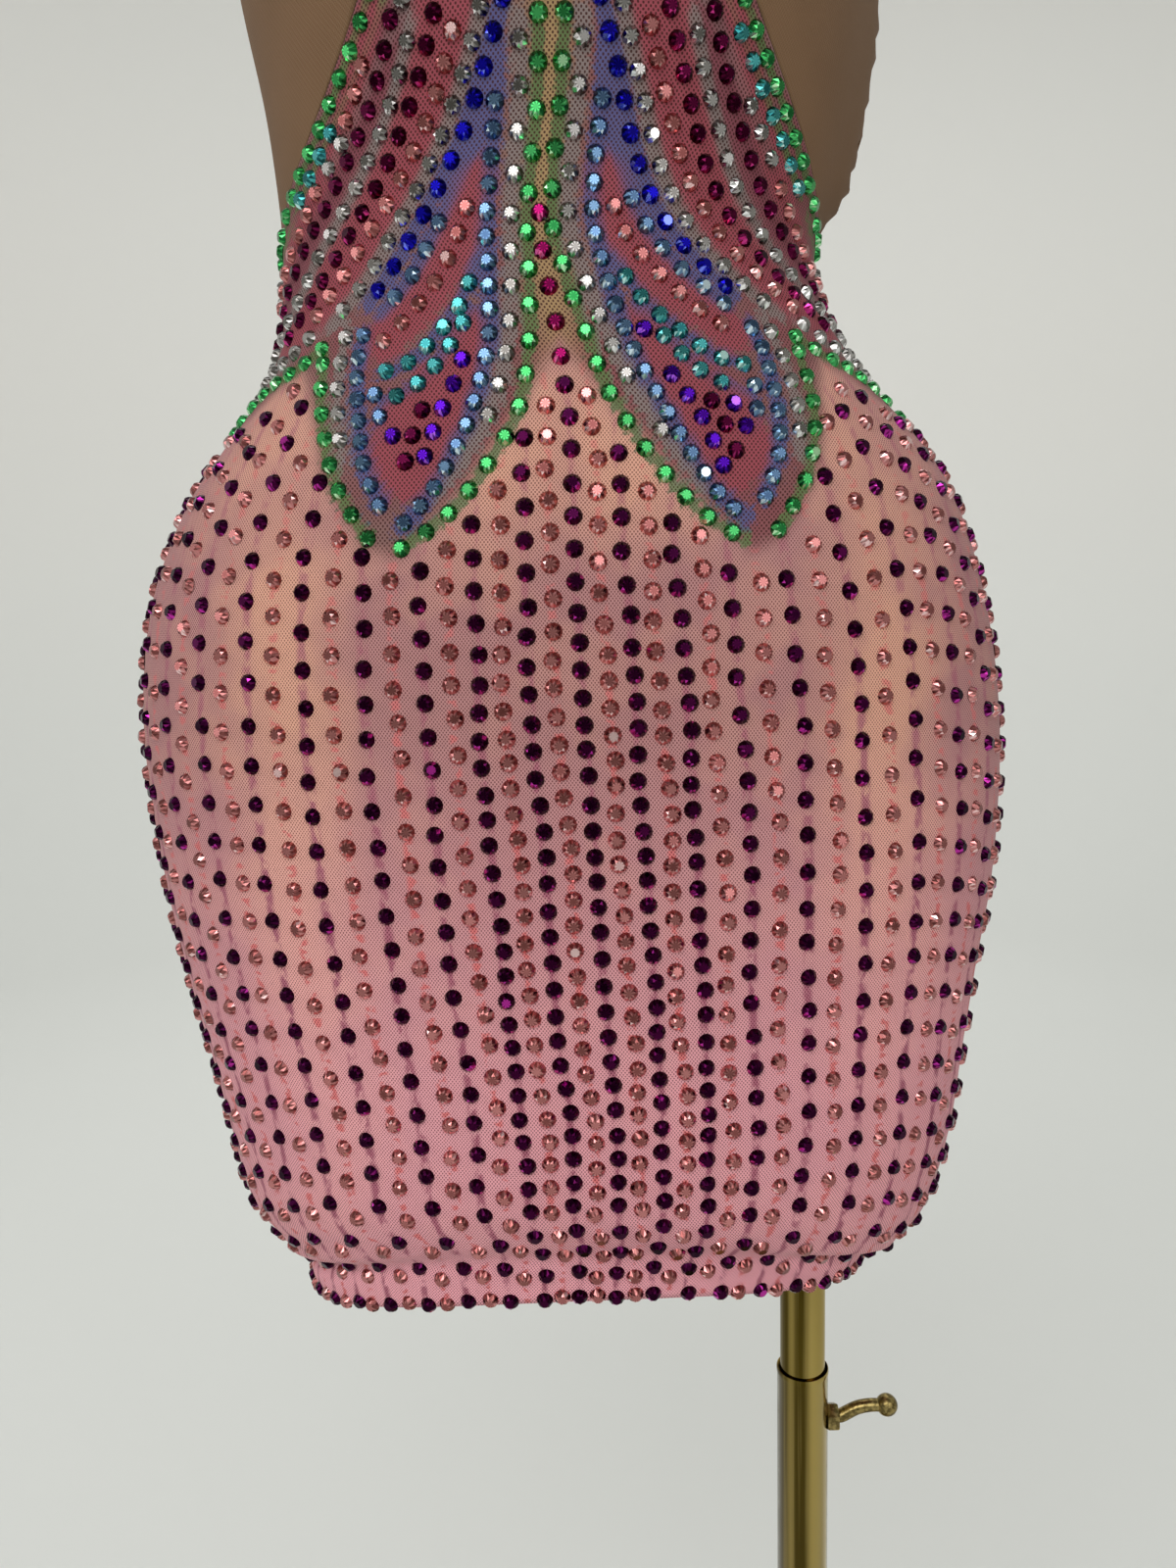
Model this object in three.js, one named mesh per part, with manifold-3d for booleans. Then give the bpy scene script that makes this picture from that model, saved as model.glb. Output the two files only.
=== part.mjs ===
// A crystal-studded mini dress of stretch mesh on a limbless dress form, which stands on a brass telescopic
// stand. Units are millimetres and +Z is up. The origin is on the floor, on the axis of the stand's pole.
// The front of the dress faces -Y, and the wearer's left side is at +X.
import * as THREE from "three";
import { mergeVertices } from "three/addons/utils/BufferGeometryUtils.js";
import Module from "manifold-3d";

const wasm = await Module();
wasm.setup();

// ---- Driving dimensions ------------------------------------------------------------------------------------
const HIP_LEVEL = 830; // height above the floor of the level that the tables below count their heights from
const FORM_X = -107; // the form's centre plane: its pole socket is in the left thigh, off centre
const CLOTH = { wall: 1.2, clearance: 0.75, seam: 0.3 };
const POLE = { mastRadius: 11, sleeveRadius: 12.5, sleeveBore: 11.5, mastWall: 1.5, sides: 24 };
const STAND = { baseRadius: 175, baseHeight: 10, hubRadius: 24, hubHeight: 30, sleeveTop: 458 };
const CLAMP = { height: 430, screwRadius: 3, holeRadius: 3.4, leverRadius: 3.3, reach: 42.3, ballRadius: 5.4, rise: 5.6 };
const NUT = { corner: 6.8, inner: 11.9, outer: 17.7 };
const SOCKET = { radius: 19, thickness: 4, depth: 70, insertion: 300 };
const FORM_INSET = 0.3; // the form lies this far inside the surface that it shares with the cloth
const FORM_FLOOR = { height: 541, width: 0.78, depth: 0.55 }; // the form's flat underside, as shares of its lower edge
const BUST = { depth: 15, spread: 60, width: 38, height: 305, tall: 46 };

const COLOURS = {
  print: 0xc98f8d,
  nude: 0x8a6a4c,
  form: 0xc9a184,
  brass: 0xb89a4a,
};

// ---- Section tables ----------------------------------------------------------------------------------------
// Each row is one level section, in millimetres from HIP_LEVEL: frontZ and sideZ are its height at the centre
// front and from the side seams to the back; half, front and back are its half width and its depths in front of
// and behind the side seams; power is the superellipse's exponent; shift moves the section towards +X; and lean
// is how far it rises at the left side and drops at the right, where the section isn't level (0 if not given).
const COLUMNS = ["frontZ", "sideZ", "half", "front", "back", "power", "shift", "lean"];
const table = (rows) => rows.map((row) => Object.fromEntries(COLUMNS.map((name, i) => [name, row[i] ?? 0])));

// The cloth from the hem up to where it meets the form's lower edge: it pulls in below that edge.
const HEM_SECTIONS = table([
  [-278, -304, 129, 89, 92, 2.2, 1, 2.5],
  [-266, -298, 131, 91, 94, 2.2, 1.5, 1.5],
  [-254, -290, 134.5, 95, 98, 2.2, 3.5, -0.5],
  [-244, -282, 143.5, 100, 104, 2.2, 4.5, -2],
]);

// The form, and the cloth that lies on it, from the lower edge up to the neck.
const BODY_SECTIONS = table([
  [-237, -274, 153.5, 103, 109, 2.2, 4, -3.5],
  [-225, -260, 160.5, 104.5, 112, 2.2, 4, -3.5],
  [-205, -232, 167, 105, 115, 2.2, 5, -2],
  [-180, -200, 172, 105.5, 118, 2.2, 4.5],
  [-148, -160, 179, 105.5, 120, 2.2, 3],
  [-112, -118, 186, 105, 121, 2.2, 2.5],
  [-75, -75, 189.5, 104.5, 120, 2.2, 1.5],
  [-45, -45, 189.8, 104, 117, 2.2, 0.5],
  [-15, -15, 186.8, 103.5, 113, 2.2, 0],
  [12, 12, 181, 103, 108, 2.2, 0],
  [34, 34, 173.5, 102, 103, 2.15, 1],
  [54, 54, 163.7, 100.5, 98, 2.15, 2],
  [72, 72, 150.5, 98.5, 94, 2.1, 2.5],
  [88, 88, 136.5, 96, 90.5, 2.1, 1.5],
  [104, 104, 124.5, 93, 88, 2.1, 0.5],
  [122, 122, 117, 90.5, 86, 2.05, -2],
  [142, 142, 113, 89, 84.5, 2, -4.5],
  [162, 162, 113.5, 89.5, 84, 2, -3],
  [184, 184, 117.5, 93, 85, 2, 0],
  [214, 214, 122.5, 102, 87, 2, 2],
  [252, 252, 128.5, 111, 90, 2, 1.5],
  [300, 300, 135, 117, 93, 2, 1],
  [340, 340, 142, 112, 96, 2.1, 0],
  [375, 375, 150, 99, 96, 2.2, 0],
  [408, 408, 160, 84, 90, 2.3, 0],
  [438, 438, 168, 70, 80, 2.3, 0],
  [460, 460, 170, 60, 71, 2.2, 0],
  [478, 478, 158, 54, 64, 2.1, 0],
  [494, 494, 128, 51, 59, 2, 0],
  [508, 508, 92, 50, 56, 2, 0],
  [519, 519, 70, 49.5, 54, 2, 0],
  [532, 532, 58, 49, 53, 2, 0],
  [552, 552, 54, 48, 52, 2, 0],
  [570, 570, 54, 48, 52, 2, 0],
]);
const CLOTH_SECTIONS = [...HEM_SECTIONS, ...BODY_SECTIONS];
const LAST_SECTION = CLOTH_SECTIONS.length - 1;

// Edges of the pieces, as heights above HIP_LEVEL against widths from the centre plane.
const WAIST_POINT = 155; // where the printed panel's edge meets the side seam
const PANEL_EDGE = [
  { z: 155, x: 113 },
  { z: 159, x: 111.2 },
  { z: 165, x: 108.2 },
  { z: 174, x: 102 },
  { z: 186, x: 92.8 },
  { z: 200, x: 82.5 },
  { z: 218, x: 70.8 },
  { z: 240, x: 59.8 },
  { z: 262, x: 52 },
  { z: 282, x: 47.5 },
  { z: 296, x: 45.5 },
  { z: 309, x: 44.3 },
  { z: 322, x: 43.5 },
  { z: 336, x: 42.8 },
  { z: 349, x: 42.4 },
  { z: 361, x: 42.1 },
  { z: 374, x: 42 },
  { z: 386, x: 42 },
  { z: 398, x: 42 },
];
const NECKLINE = { centreZ: 392, panelZ: 398, strapX: 84, strapZ: 444, backZ: 430 };
const ARMHOLE = { bottomZ: 374, strapX: 122, strapZ: 444 };
const SEAM_RIDGE = { low: 158, rise: 26, high: 284, fall: 42, height: 6.8, turn: 0.2 }; // left side seam's allowance
const BACK_EDGE = { sideZ: 152, centreZ: 84 }; // top of the printed back skirt

const RIGHT_ANGLE = Math.PI / 2;
const mix = (a, b, t) => a + (b - a) * t;
const ease = (t) => t * t * (3 - 2 * t);

// ---- The surface that form and cloth share -----------------------------------------------------------------
// The section at a fractional row number, by a Catmull-Rom curve through the rows.
function sectionAt(row) {
  const k = Math.min(Math.floor(row), LAST_SECTION - 1);
  const t = row - k;
  const rows = [k - 1, k, k + 1, k + 2].map((i) => CLOTH_SECTIONS[Math.max(0, Math.min(LAST_SECTION, i))]);
  const weights = [
    0.5 * (-t + 2 * t * t - t * t * t),
    0.5 * (2 - 5 * t * t + 3 * t * t * t),
    0.5 * (t + 4 * t * t - 3 * t * t * t),
    0.5 * (-t * t + t * t * t),
  ];
  return Object.fromEntries(COLUMNS.map((name) => [name, rows.reduce((sum, r, i) => sum + r[name] * weights[i], 0)]));
}

// How far a section has dropped from its front height to its side height, at an angle from the centre front.
const dropAt = (angle) => (Math.cos(angle) > 0 ? Math.sin(angle) ** 2 : 1);

const heightAt = (section, angle) =>
  mix(section.frontZ, section.sideZ, dropAt(angle)) + section.lean * Math.sin(angle);

// The row number at which the surface reaches a height, at an angle.
function rowAt(angle, z) {
  let low = 0;
  let high = LAST_SECTION;
  for (let step = 0; step < 40; step++) {
    const middle = (low + high) / 2;
    if (heightAt(sectionAt(middle), angle) < z) low = middle;
    else high = middle;
  }
  return (low + high) / 2;
}

// The point at an angle from the centre front, turning towards +X, on a row.
function skin(angle, row) {
  const s = sectionAt(row);
  const across = Math.sin(angle);
  const along = Math.cos(angle);
  const x = s.half * Math.sign(across) * Math.abs(across) ** (2 / s.power);
  const depth = along > 0 ? -s.front : s.back;
  const y = depth * Math.abs(along) ** (2 / s.power);
  const z = heightAt(s, angle);
  const bust = gauss((Math.abs(x) - BUST.spread) / BUST.width) * gauss((z - BUST.height) / BUST.tall);
  return new THREE.Vector3(FORM_X + s.shift + x, y - BUST.depth * bust * Math.max(0, along), HIP_LEVEL + z);
}

function gauss(t) {
  return Math.exp(-t * t);
}

function skinNormal(angle, row) {
  const step = 1e-3;
  const r = Math.max(step, Math.min(LAST_SECTION - step, row));
  const around = skin(angle + step, r).sub(skin(angle - step, r));
  const up = skin(angle, r + step).sub(skin(angle, r - step));
  return around.cross(up).normalize();
}

// The angle at which a section reaches a width from the centre plane, on the front half.
function angleOfWidth(x, z) {
  const s = sectionAt(rowAt(0, z));
  return Math.asin(Math.min(1, (Math.abs(x) / s.half) ** (s.power / 2)));
}

// The angle of a seam edge that stays half a seam gap in front of the side seam's plane.
function seamAngle(z) {
  const s = sectionAt(rowAt(RIGHT_ANGLE, z));
  return Math.acos((CLOTH.seam / 2 / s.front) ** (s.power / 2));
}

// The height of the shoulder's ridge at a width from the centre plane.
function ridgeHeight(x) {
  let low = 460;
  let high = 570;
  for (let step = 0; step < 40; step++) {
    const middle = (low + high) / 2;
    if (sectionAt(rowAt(RIGHT_ANGLE, middle)).half > x) low = middle;
    else high = middle;
  }
  return low;
}

// How far the cloth stands off the form: it is lifted along the left side seam by the allowance inside it.
function standOff(angle, row) {
  const z = heightAt(sectionAt(row), angle);
  const share = Math.max(0, Math.min(1, (z - SEAM_RIDGE.low) / SEAM_RIDGE.rise, (SEAM_RIDGE.high - z) / SEAM_RIDGE.fall));
  return CLOTH.clearance + SEAM_RIDGE.height * ease(share) * gauss((angle - RIGHT_ANGLE) / SEAM_RIDGE.turn);
}

// ---- Geometry helpers --------------------------------------------------------------------------------------
function geometryFrom(points, triangles) {
  const geometry = new THREE.BufferGeometry();
  geometry.setAttribute("position", new THREE.Float32BufferAttribute(points.flatMap((p) => p.toArray()), 3));
  geometry.setIndex(triangles);
  geometry.computeVertexNormals();
  return geometry;
}

// A closed wall over a grid of places {angle, row}. Cells that are missing leave the wall's edge open to view.
function wallGeometry(columns, rows, placeAt, hasCell = () => true) {
  const points = [];
  for (let j = 0; j <= rows; j++)
    for (let i = 0; i <= columns; i++) {
      const { angle, row } = placeAt(i, j);
      const p = skin(angle, row);
      const n = skinNormal(angle, row);
      const gap = standOff(angle, row);
      points.push(p.clone().addScaledVector(n, gap + CLOTH.wall));
      points.push(p.clone().addScaledVector(n, gap));
    }
  const outer = (i, j) => 2 * (j * (columns + 1) + i);
  const inner = (i, j) => outer(i, j) + 1;
  const present = (i, j) => i >= 0 && j >= 0 && i < columns && j < rows && hasCell(i, j);
  const triangles = [];
  // Each quad is split along the shorter of its diagonals on the outer face.
  const quad = (a, b, c, d, turn = false) => triangles.push(...(turn ? [a, b, d, b, c, d] : [a, b, c, a, c, d]));
  const length = (a, b) => points[a].distanceTo(points[b]);
  for (let j = 0; j < rows; j++)
    for (let i = 0; i < columns; i++) {
      if (!present(i, j)) continue;
      const turn = length(outer(i + 1, j), outer(i, j + 1)) < length(outer(i, j), outer(i + 1, j + 1));
      const corners = [[i, j], [i + 1, j], [i + 1, j + 1], [i, j + 1]];
      const beyond = [[i, j - 1], [i + 1, j], [i, j + 1], [i - 1, j]];
      quad(...corners.map(([a, b]) => outer(a, b)), turn);
      quad(...corners.map(([a, b]) => inner(a, b)).reverse(), !turn);
      corners.forEach(([a, b], k) => {
        if (present(...beyond[k])) return;
        const [c, d] = corners[(k + 1) % 4];
        quad(outer(c, d), outer(a, b), inner(a, b), inner(c, d));
      });
    }
  return tidy(geometryFrom(points, triangles));
}

// Drops the points that no cell uses.
function tidy(geometry) {
  const used = [...new Set(geometry.index.array)];
  const place = new Map(used.map((old, i) => [old, i]));
  const position = geometry.getAttribute("position");
  const points = used.map((i) => new THREE.Vector3().fromBufferAttribute(position, i));
  return geometryFrom(points, [...geometry.index.array].map((i) => place.get(i)));
}

// A closed body through rings of points, each ring turning towards +X seen from -Y, with a centre point at each end.
function ringGeometry(rings) {
  const sides = rings[0].length;
  const points = rings.flat();
  const bottom = points.push(centroid(rings[0])) - 1;
  const top = points.push(centroid(rings.at(-1))) - 1;
  const triangles = [];
  for (let j = 0; j + 1 < rings.length; j++)
    for (let i = 0; i < sides; i++) {
      const a = j * sides + i;
      const b = j * sides + ((i + 1) % sides);
      const turn = points[b].distanceTo(points[a + sides]) < points[a].distanceTo(points[b + sides]);
      triangles.push(...(turn ? [a, b, a + sides, b, b + sides, a + sides] : [a, b, b + sides, a, b + sides, a + sides]));
    }
  for (let i = 0; i < sides; i++) {
    const next = (i + 1) % sides;
    const last = (rings.length - 1) * sides;
    triangles.push(bottom, next, i, top, last + i, last + next);
  }
  return geometryFrom(points, triangles);
}

function centroid(ring) {
  return ring.reduce((sum, p) => sum.add(p), new THREE.Vector3()).divideScalar(ring.length);
}

function solid(geometry) {
  const bare = geometry.clone();
  bare.deleteAttribute("normal");
  bare.deleteAttribute("uv");
  const merged = mergeVertices(bare, 1e-3);
  return new wasm.Manifold(
    new wasm.Mesh({
      numProp: 3,
      vertProperties: merged.getAttribute("position").array,
      triVerts: new Uint32Array(merged.index.array),
    }),
  );
}

function geometryOf(manifold) {
  const mesh = manifold.getMesh();
  const geometry = new THREE.BufferGeometry();
  geometry.setAttribute("position", new THREE.BufferAttribute(new Float32Array(mesh.vertProperties), 3));
  geometry.setIndex([...mesh.triVerts]);
  geometry.computeVertexNormals();
  return geometry;
}

// A body turned about the Z axis from a closed profile of [radius, height] points.
function turned(profile, sides = POLE.sides) {
  const points = [...profile, profile[0]].map(([r, z]) => new THREE.Vector2(r, z));
  return new THREE.LatheGeometry(points, sides).rotateX(RIGHT_ANGLE);
}

function ringProfile(inner, outer, low, high) {
  return [[inner, low], [outer, low], [outer, high], [inner, high]];
}

function rod(radius, low, high, sides = POLE.sides) {
  return new THREE.CylinderGeometry(radius, radius, high - low, sides)
    .rotateX(RIGHT_ANGLE)
    .translate(0, 0, (low + high) / 2);
}

const part = new THREE.Group();

function add(name, geometry, colour, roughness, metalness = 0) {
  const material = new THREE.MeshStandardMaterial({ color: colour, roughness, metalness });
  const mesh = new THREE.Mesh(geometry, material);
  mesh.name = name;
  part.add(mesh);
}

// ---- The dress ---------------------------------------------------------------------------------------------
const HEM_ROWS = [0, 1, 2, 3, 4, 5, 6, 7, 8, 9];
const SKIRT_LEVELS = [-75, -45, -15, 12, 34, 54, 72, 88, 104, 122, 140];
const STRAP_ROWS = 5;

// Rows of the skirt from the hem up: whole section rows first, then level heights.
function skirtPlace(angle, j) {
  if (j < HEM_ROWS.length) return { angle, row: HEM_ROWS[j] };
  return { angle, row: rowAt(angle, SKIRT_LEVELS[j - HEM_ROWS.length]) };
}

const SKIRT_ROWS = HEM_ROWS.length + SKIRT_LEVELS.length;

// The printed panel: the skirt's front and the strip that narrows above the waist, in one piece.
function frontPanel() {
  const columns = 20;
  const place = (i, j) => {
    const across = (2 * i) / columns - 1;
    if (j < SKIRT_ROWS) {
      const edge = seamAngle(j < HEM_ROWS.length ? CLOTH_SECTIONS[j].sideZ : SKIRT_LEVELS[j - HEM_ROWS.length]);
      return skirtPlace(across * edge, j);
    }
    const { z, x } = PANEL_EDGE[j - SKIRT_ROWS];
    const edge = panelEdgeAngle({ z, x }) - panelSeamTurn(z);
    const dip = z === NECKLINE.panelZ ? (NECKLINE.panelZ - NECKLINE.centreZ) * (1 - across ** 2) : 0;
    return { angle: across * edge, row: rowAt(across * edge, z - dip) };
  };
  return wallGeometry(columns, SKIRT_ROWS + PANEL_EDGE.length - 1, place);
}

// One nude mesh side: from the waist point up between panel and side seam, and on to the shoulder as a strap.
// Above the armhole's bottom its rows slant, from the neckline's heights to the armhole's.
function sideMesh(side) {
  const columns = 8;
  const levels = PANEL_EDGE.map((edge) => edge.z).filter((z) => z <= ARMHOLE.bottomZ);
  const neckLevels = [386, NECKLINE.panelZ, 407, 416, 425, 434, NECKLINE.strapZ];
  const place = (i, j) => {
    const t = side > 0 ? i / columns : 1 - i / columns;
    if (j < levels.length) {
      const z = levels[j];
      const angle = side * mix(innerAngle(z), seamAngle(z), t);
      return { angle, row: rowAt(angle, z) };
    }
    const step = j - levels.length;
    if (step < neckLevels.length) {
      const arm = armhole((step + 1) / neckLevels.length);
      const angle = side * mix(innerAngle(neckLevels[step]), arm.angle, t);
      return { angle, row: rowAt(angle, mix(neckLevels[step], arm.z, t)) };
    }
    const share = (step - neckLevels.length + 1) / STRAP_ROWS;
    const angle = strapAngle(mix(NECKLINE.strapX, ARMHOLE.strapX, t), share);
    return { angle: side * angle.angle, row: angle.row };
  };
  return wallGeometry(columns, levels.length + neckLevels.length + STRAP_ROWS - 1, place);
}

// A point of the armhole's edge, from the side seam (0) to the foot of the strap (1), on the front half.
function armhole(share) {
  const z = mix(ARMHOLE.bottomZ, ARMHOLE.strapZ, 1 - Math.cos(share * RIGHT_ANGLE));
  const strap = angleOfWidth(ARMHOLE.strapX, ARMHOLE.strapZ);
  return { z, angle: mix(seamAngle(z), strap, Math.sin(share * RIGHT_ANGLE)) };
}

// A place on the strap: at a width from the centre plane, from the foot of the strap (0) to the shoulder seam (1).
function strapAngle(x, share) {
  const z = mix(NECKLINE.strapZ, ridgeHeight(x), Math.sin(share * RIGHT_ANGLE));
  const angle = share === 1 ? seamAngle(z) : Math.min(seamAngle(z), angleOfWidth(x, z));
  return { angle, row: rowAt(angle, z) };
}

// The angle of the line between the printed panel and a nude side: it starts just in front of the side seam.
const panelEdgeAngle = ({ z, x }) => (z === WAIST_POINT ? seamAngle(z) - 0.02 : angleOfWidth(x, z));

// Half a seam gap as an angle at a height of that line: wider where the line runs more nearly level.
function panelSeamTurn(z) {
  const k = PANEL_EDGE.findIndex((row) => row.z === z);
  const radius = sectionAt(rowAt(RIGHT_ANGLE, z)).half;
  const slopes = [k - 1, k]
    .filter((i) => i >= 0 && i + 1 < PANEL_EDGE.length)
    .map((i) => (radius * (panelEdgeAngle(PANEL_EDGE[i]) - panelEdgeAngle(PANEL_EDGE[i + 1]))) / (PANEL_EDGE[i + 1].z - PANEL_EDGE[i].z));
  return ((CLOTH.seam / 2) * Math.hypot(1, Math.max(...slopes))) / radius;
}

// The inner edge of a nude side: the printed panel's edge, then the neckline up to the strap.
function innerAngle(z) {
  const edge = PANEL_EDGE.find((row) => row.z === z);
  if (edge) return panelEdgeAngle(edge) + panelSeamTurn(z);
  const share = ease((z - NECKLINE.panelZ) / (NECKLINE.strapZ - NECKLINE.panelZ));
  return angleOfWidth(mix(PANEL_EDGE.at(-1).x, NECKLINE.strapX, share), z);
}

// The top edge of the printed back: it dips from the side seams to the centre back.
const backEdgeHeight = (angle) => mix(BACK_EDGE.sideZ, BACK_EDGE.centreZ, Math.abs(Math.cos(angle)) ** 0.8);

const backAngle = (i, columns) => mix(RIGHT_ANGLE, 3 * RIGHT_ANGLE, i / columns);

// Moves the first and last columns of a back piece half a seam gap behind the side seam's plane.
function offSeam(angle, z) {
  const edge = Math.PI - seamAngle(z);
  return Math.max(edge, Math.min(2 * Math.PI - edge, angle));
}

function backSkirt() {
  const columns = 18;
  const levels = SKIRT_LEVELS.filter((z) => z <= 54);
  const topRows = 5;
  const place = (i, j) => {
    if (j < HEM_ROWS.length) return { angle: offSeam(backAngle(i, columns), CLOTH_SECTIONS[j].sideZ), row: HEM_ROWS[j] };
    const level = levels[j - HEM_ROWS.length];
    const raised = backAngle(i, columns);
    const z = level ?? mix(levels.at(-1), backEdgeHeight(raised), (j - HEM_ROWS.length - levels.length + 1) / topRows);
    const angle = offSeam(raised, z);
    return { angle, row: rowAt(angle, z) };
  };
  return wallGeometry(columns, HEM_ROWS.length + levels.length + topRows - 1, place);
}

// The nude back: from the printed skirt's top edge up to the armholes, the back neckline and two straps.
function backBodice() {
  const strapColumns = 5;
  const middleColumns = 8;
  const columns = middleColumns + 2 * strapColumns;
  const lowRows = 3;
  const levels = [184, 214, 252, 300, 340, ARMHOLE.bottomZ];
  const armRows = 7;
  const body = lowRows + levels.length + armRows;
  const place = (i, j) => {
    const even = backAngle(i, columns);
    if (j < lowRows) return backPlace(even, mix(backEdgeHeight(even) + 2 * CLOTH.seam, levels[0], j / lowRows));
    if (j < lowRows + levels.length) return backPlace(even, levels[j - lowRows]);
    const side = i < columns / 2 ? 1 : -1;
    const k = side > 0 ? i : columns - i; // columns from the side seam towards the centre back
    if (j < body) {
      const share = (j - lowRows - levels.length + 1) / armRows;
      const arm = armhole(share);
      const neck = angleOfWidth(NECKLINE.strapX, ARMHOLE.strapZ);
      const strapEdge = mix(RIGHT_ANGLE * (1 - strapColumns / (columns / 2)), neck, Math.sin(share * RIGHT_ANGLE));
      const front = k <= strapColumns
        ? mix(arm.angle, strapEdge, k / strapColumns)
        : mix(strapEdge, 0, (k - strapColumns) / (middleColumns / 2));
      const inside = Math.min(1, k / strapColumns);
      const dip = (NECKLINE.strapZ - NECKLINE.backZ) * share * ease(Math.max(0, (k - strapColumns) / (middleColumns / 2)));
      const z = mix(arm.z, mix(ARMHOLE.bottomZ, NECKLINE.strapZ, share) - dip, inside);
      return backPlace(side > 0 ? Math.PI - front : Math.PI + front, z);
    }
    const strap = strapAngle(mix(ARMHOLE.strapX, NECKLINE.strapX, Math.min(1, k / strapColumns)), (j - body + 1) / STRAP_ROWS);
    const angle = side > 0 ? Math.PI - strap.angle : Math.PI + strap.angle;
    return { angle, row: strap.row };
  };
  const isStrap = (i) => i < strapColumns || i >= columns - strapColumns;
  return wallGeometry(columns, body + STRAP_ROWS - 1, place, (i, j) => j < body - 1 || isStrap(i));
}

function backPlace(even, z) {
  const angle = offSeam(even, z);
  return { angle, row: rowAt(angle, z) };
}

// ---- The dress form ----------------------------------------------------------------------------------------
const FORM_SIDES = 36;

function formRing(row, widthScale = 1, depthScale = 1, flatZ = null) {
  return Array.from({ length: FORM_SIDES }, (_, i) => {
    const angle = (i / FORM_SIDES) * 2 * Math.PI;
    const p = skin(angle, row).addScaledVector(skinNormal(angle, row), -FORM_INSET);
    const centre = FORM_X + sectionAt(row).shift;
    return new THREE.Vector3(mix(centre, p.x, widthScale), p.y * depthScale, flatZ ?? p.z);
  });
}

function dressForm() {
  const lowerEdge = HEM_SECTIONS.length;
  const rings = [
    formRing(lowerEdge, FORM_FLOOR.width, FORM_FLOOR.depth, FORM_FLOOR.height),
    formRing(lowerEdge, 0.96, 0.93),
  ];
  const waist = CLOTH_SECTIONS.findIndex((section) => section.sideZ >= 120);
  for (let row = lowerEdge; row <= LAST_SECTION; row += row >= waist && row < LAST_SECTION - 3 ? 0.5 : 1)
    rings.push(formRing(row));
  const neckTop = HIP_LEVEL + BODY_SECTIONS.at(-1).sideZ;
  rings.push(formRing(LAST_SECTION, 0.9, 0.9, neckTop + 5));
  rings.push(formRing(LAST_SECTION, 0.55, 0.55, neckTop + 9));
  const socketBore = rod(POLE.sleeveBore, FORM_FLOOR.height - 60, FORM_FLOOR.height + SOCKET.depth);
  return geometryOf(solid(ringGeometry(rings)).subtract(solid(socketBore)));
}

// ---- The stand ---------------------------------------------------------------------------------------------
const SOCKET_LOW = FORM_FLOOR.height - CLOTH.seam - SOCKET.thickness;
const MAST_TOP = FORM_FLOOR.height + SOCKET.depth - CLOTH.seam;
const FOOT = STAND.baseHeight + CLOTH.seam;

function basePlate() {
  const { baseRadius: r, baseHeight: h } = STAND;
  const edge = 3;
  const profile = [[0, 0], [r - 1, 0], [r, 1], [r, h - edge], [r - edge * 0.3, h - edge * 0.3], [r - edge, h], [0, h]];
  return turned(profile, 48);
}

function hub() {
  const { hubRadius: r, hubHeight: h } = STAND;
  const bore = POLE.sleeveRadius + CLOTH.seam;
  return turned([[bore, FOOT], [r + 8, FOOT], [r + 8, FOOT + 3], [r, FOOT + 7], [r - 5, FOOT + h - 3], [r - 8, FOOT + h], [bore, FOOT + h]]);
}

// The lower tube: the mast slides in it, and the clamp screw passes through a hole near its top.
function sleeve() {
  const tube = solid(turned(ringProfile(POLE.sleeveBore, POLE.sleeveRadius, FOOT, STAND.sleeveTop)));
  const hole = alongX(new THREE.CylinderGeometry(CLAMP.holeRadius, CLAMP.holeRadius, 20, 16), 15);
  return geometryOf(tube.subtract(solid(hole)));
}

function alongX(geometry, x) {
  return geometry.rotateZ(RIGHT_ANGLE).translate(x, 0, CLAMP.height);
}

function mast() {
  const low = STAND.sleeveTop - SOCKET.insertion;
  return turned(ringProfile(POLE.mastRadius - POLE.mastWall, POLE.mastRadius, low, MAST_TOP));
}

function formSocket() {
  const high = SOCKET_LOW + SOCKET.thickness;
  return turned(ringProfile(POLE.sleeveBore, SOCKET.radius, SOCKET_LOW, high));
}

// The six-sided nut on the sleeve that the clamp screw turns in.
function clampNut() {
  const thickness = NUT.outer - NUT.inner;
  const block = alongX(new THREE.CylinderGeometry(NUT.corner, NUT.corner, thickness, 6), NUT.inner + thickness / 2);
  const seat = rod(POLE.sleeveRadius + CLOTH.seam, CLAMP.height - 20, CLAMP.height + 20);
  const thread = alongX(new THREE.CylinderGeometry(CLAMP.holeRadius, CLAMP.holeRadius, 30, 16), 15);
  return geometryOf(solid(block).subtract(solid(seat)).subtract(solid(thread)));
}

// The clamp screw: a shank that reaches the mast, a bent lever and a ball at its end.
function clampScrew() {
  const tip = POLE.mastRadius + CLOTH.seam;
  const shank = alongX(new THREE.CylinderGeometry(CLAMP.screwRadius, CLAMP.screwRadius, 11, 16), tip + 5.5);
  const path = new THREE.CatmullRomCurve3(
    [[19.4, 0.6], [23, 2.3], [27.5, 4.5], [33, CLAMP.rise], [37, CLAMP.rise + 0.2], [CLAMP.reach - 1, CLAMP.rise]].map(
      ([x, rise]) => new THREE.Vector3(x, 0, CLAMP.height + rise),
    ),
  );
  const round = new THREE.Shape().absarc(0, 0, CLAMP.leverRadius, 0, 2 * Math.PI);
  const lever = new THREE.ExtrudeGeometry(round, { steps: 14, curveSegments: 5, extrudePath: path });
  const ball = new THREE.SphereGeometry(CLAMP.ballRadius, 14, 10).translate(CLAMP.reach, 0, CLAMP.height + CLAMP.rise);
  return geometryOf(solid(shank).add(solid(lever)).add(solid(ball)));
}

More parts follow.
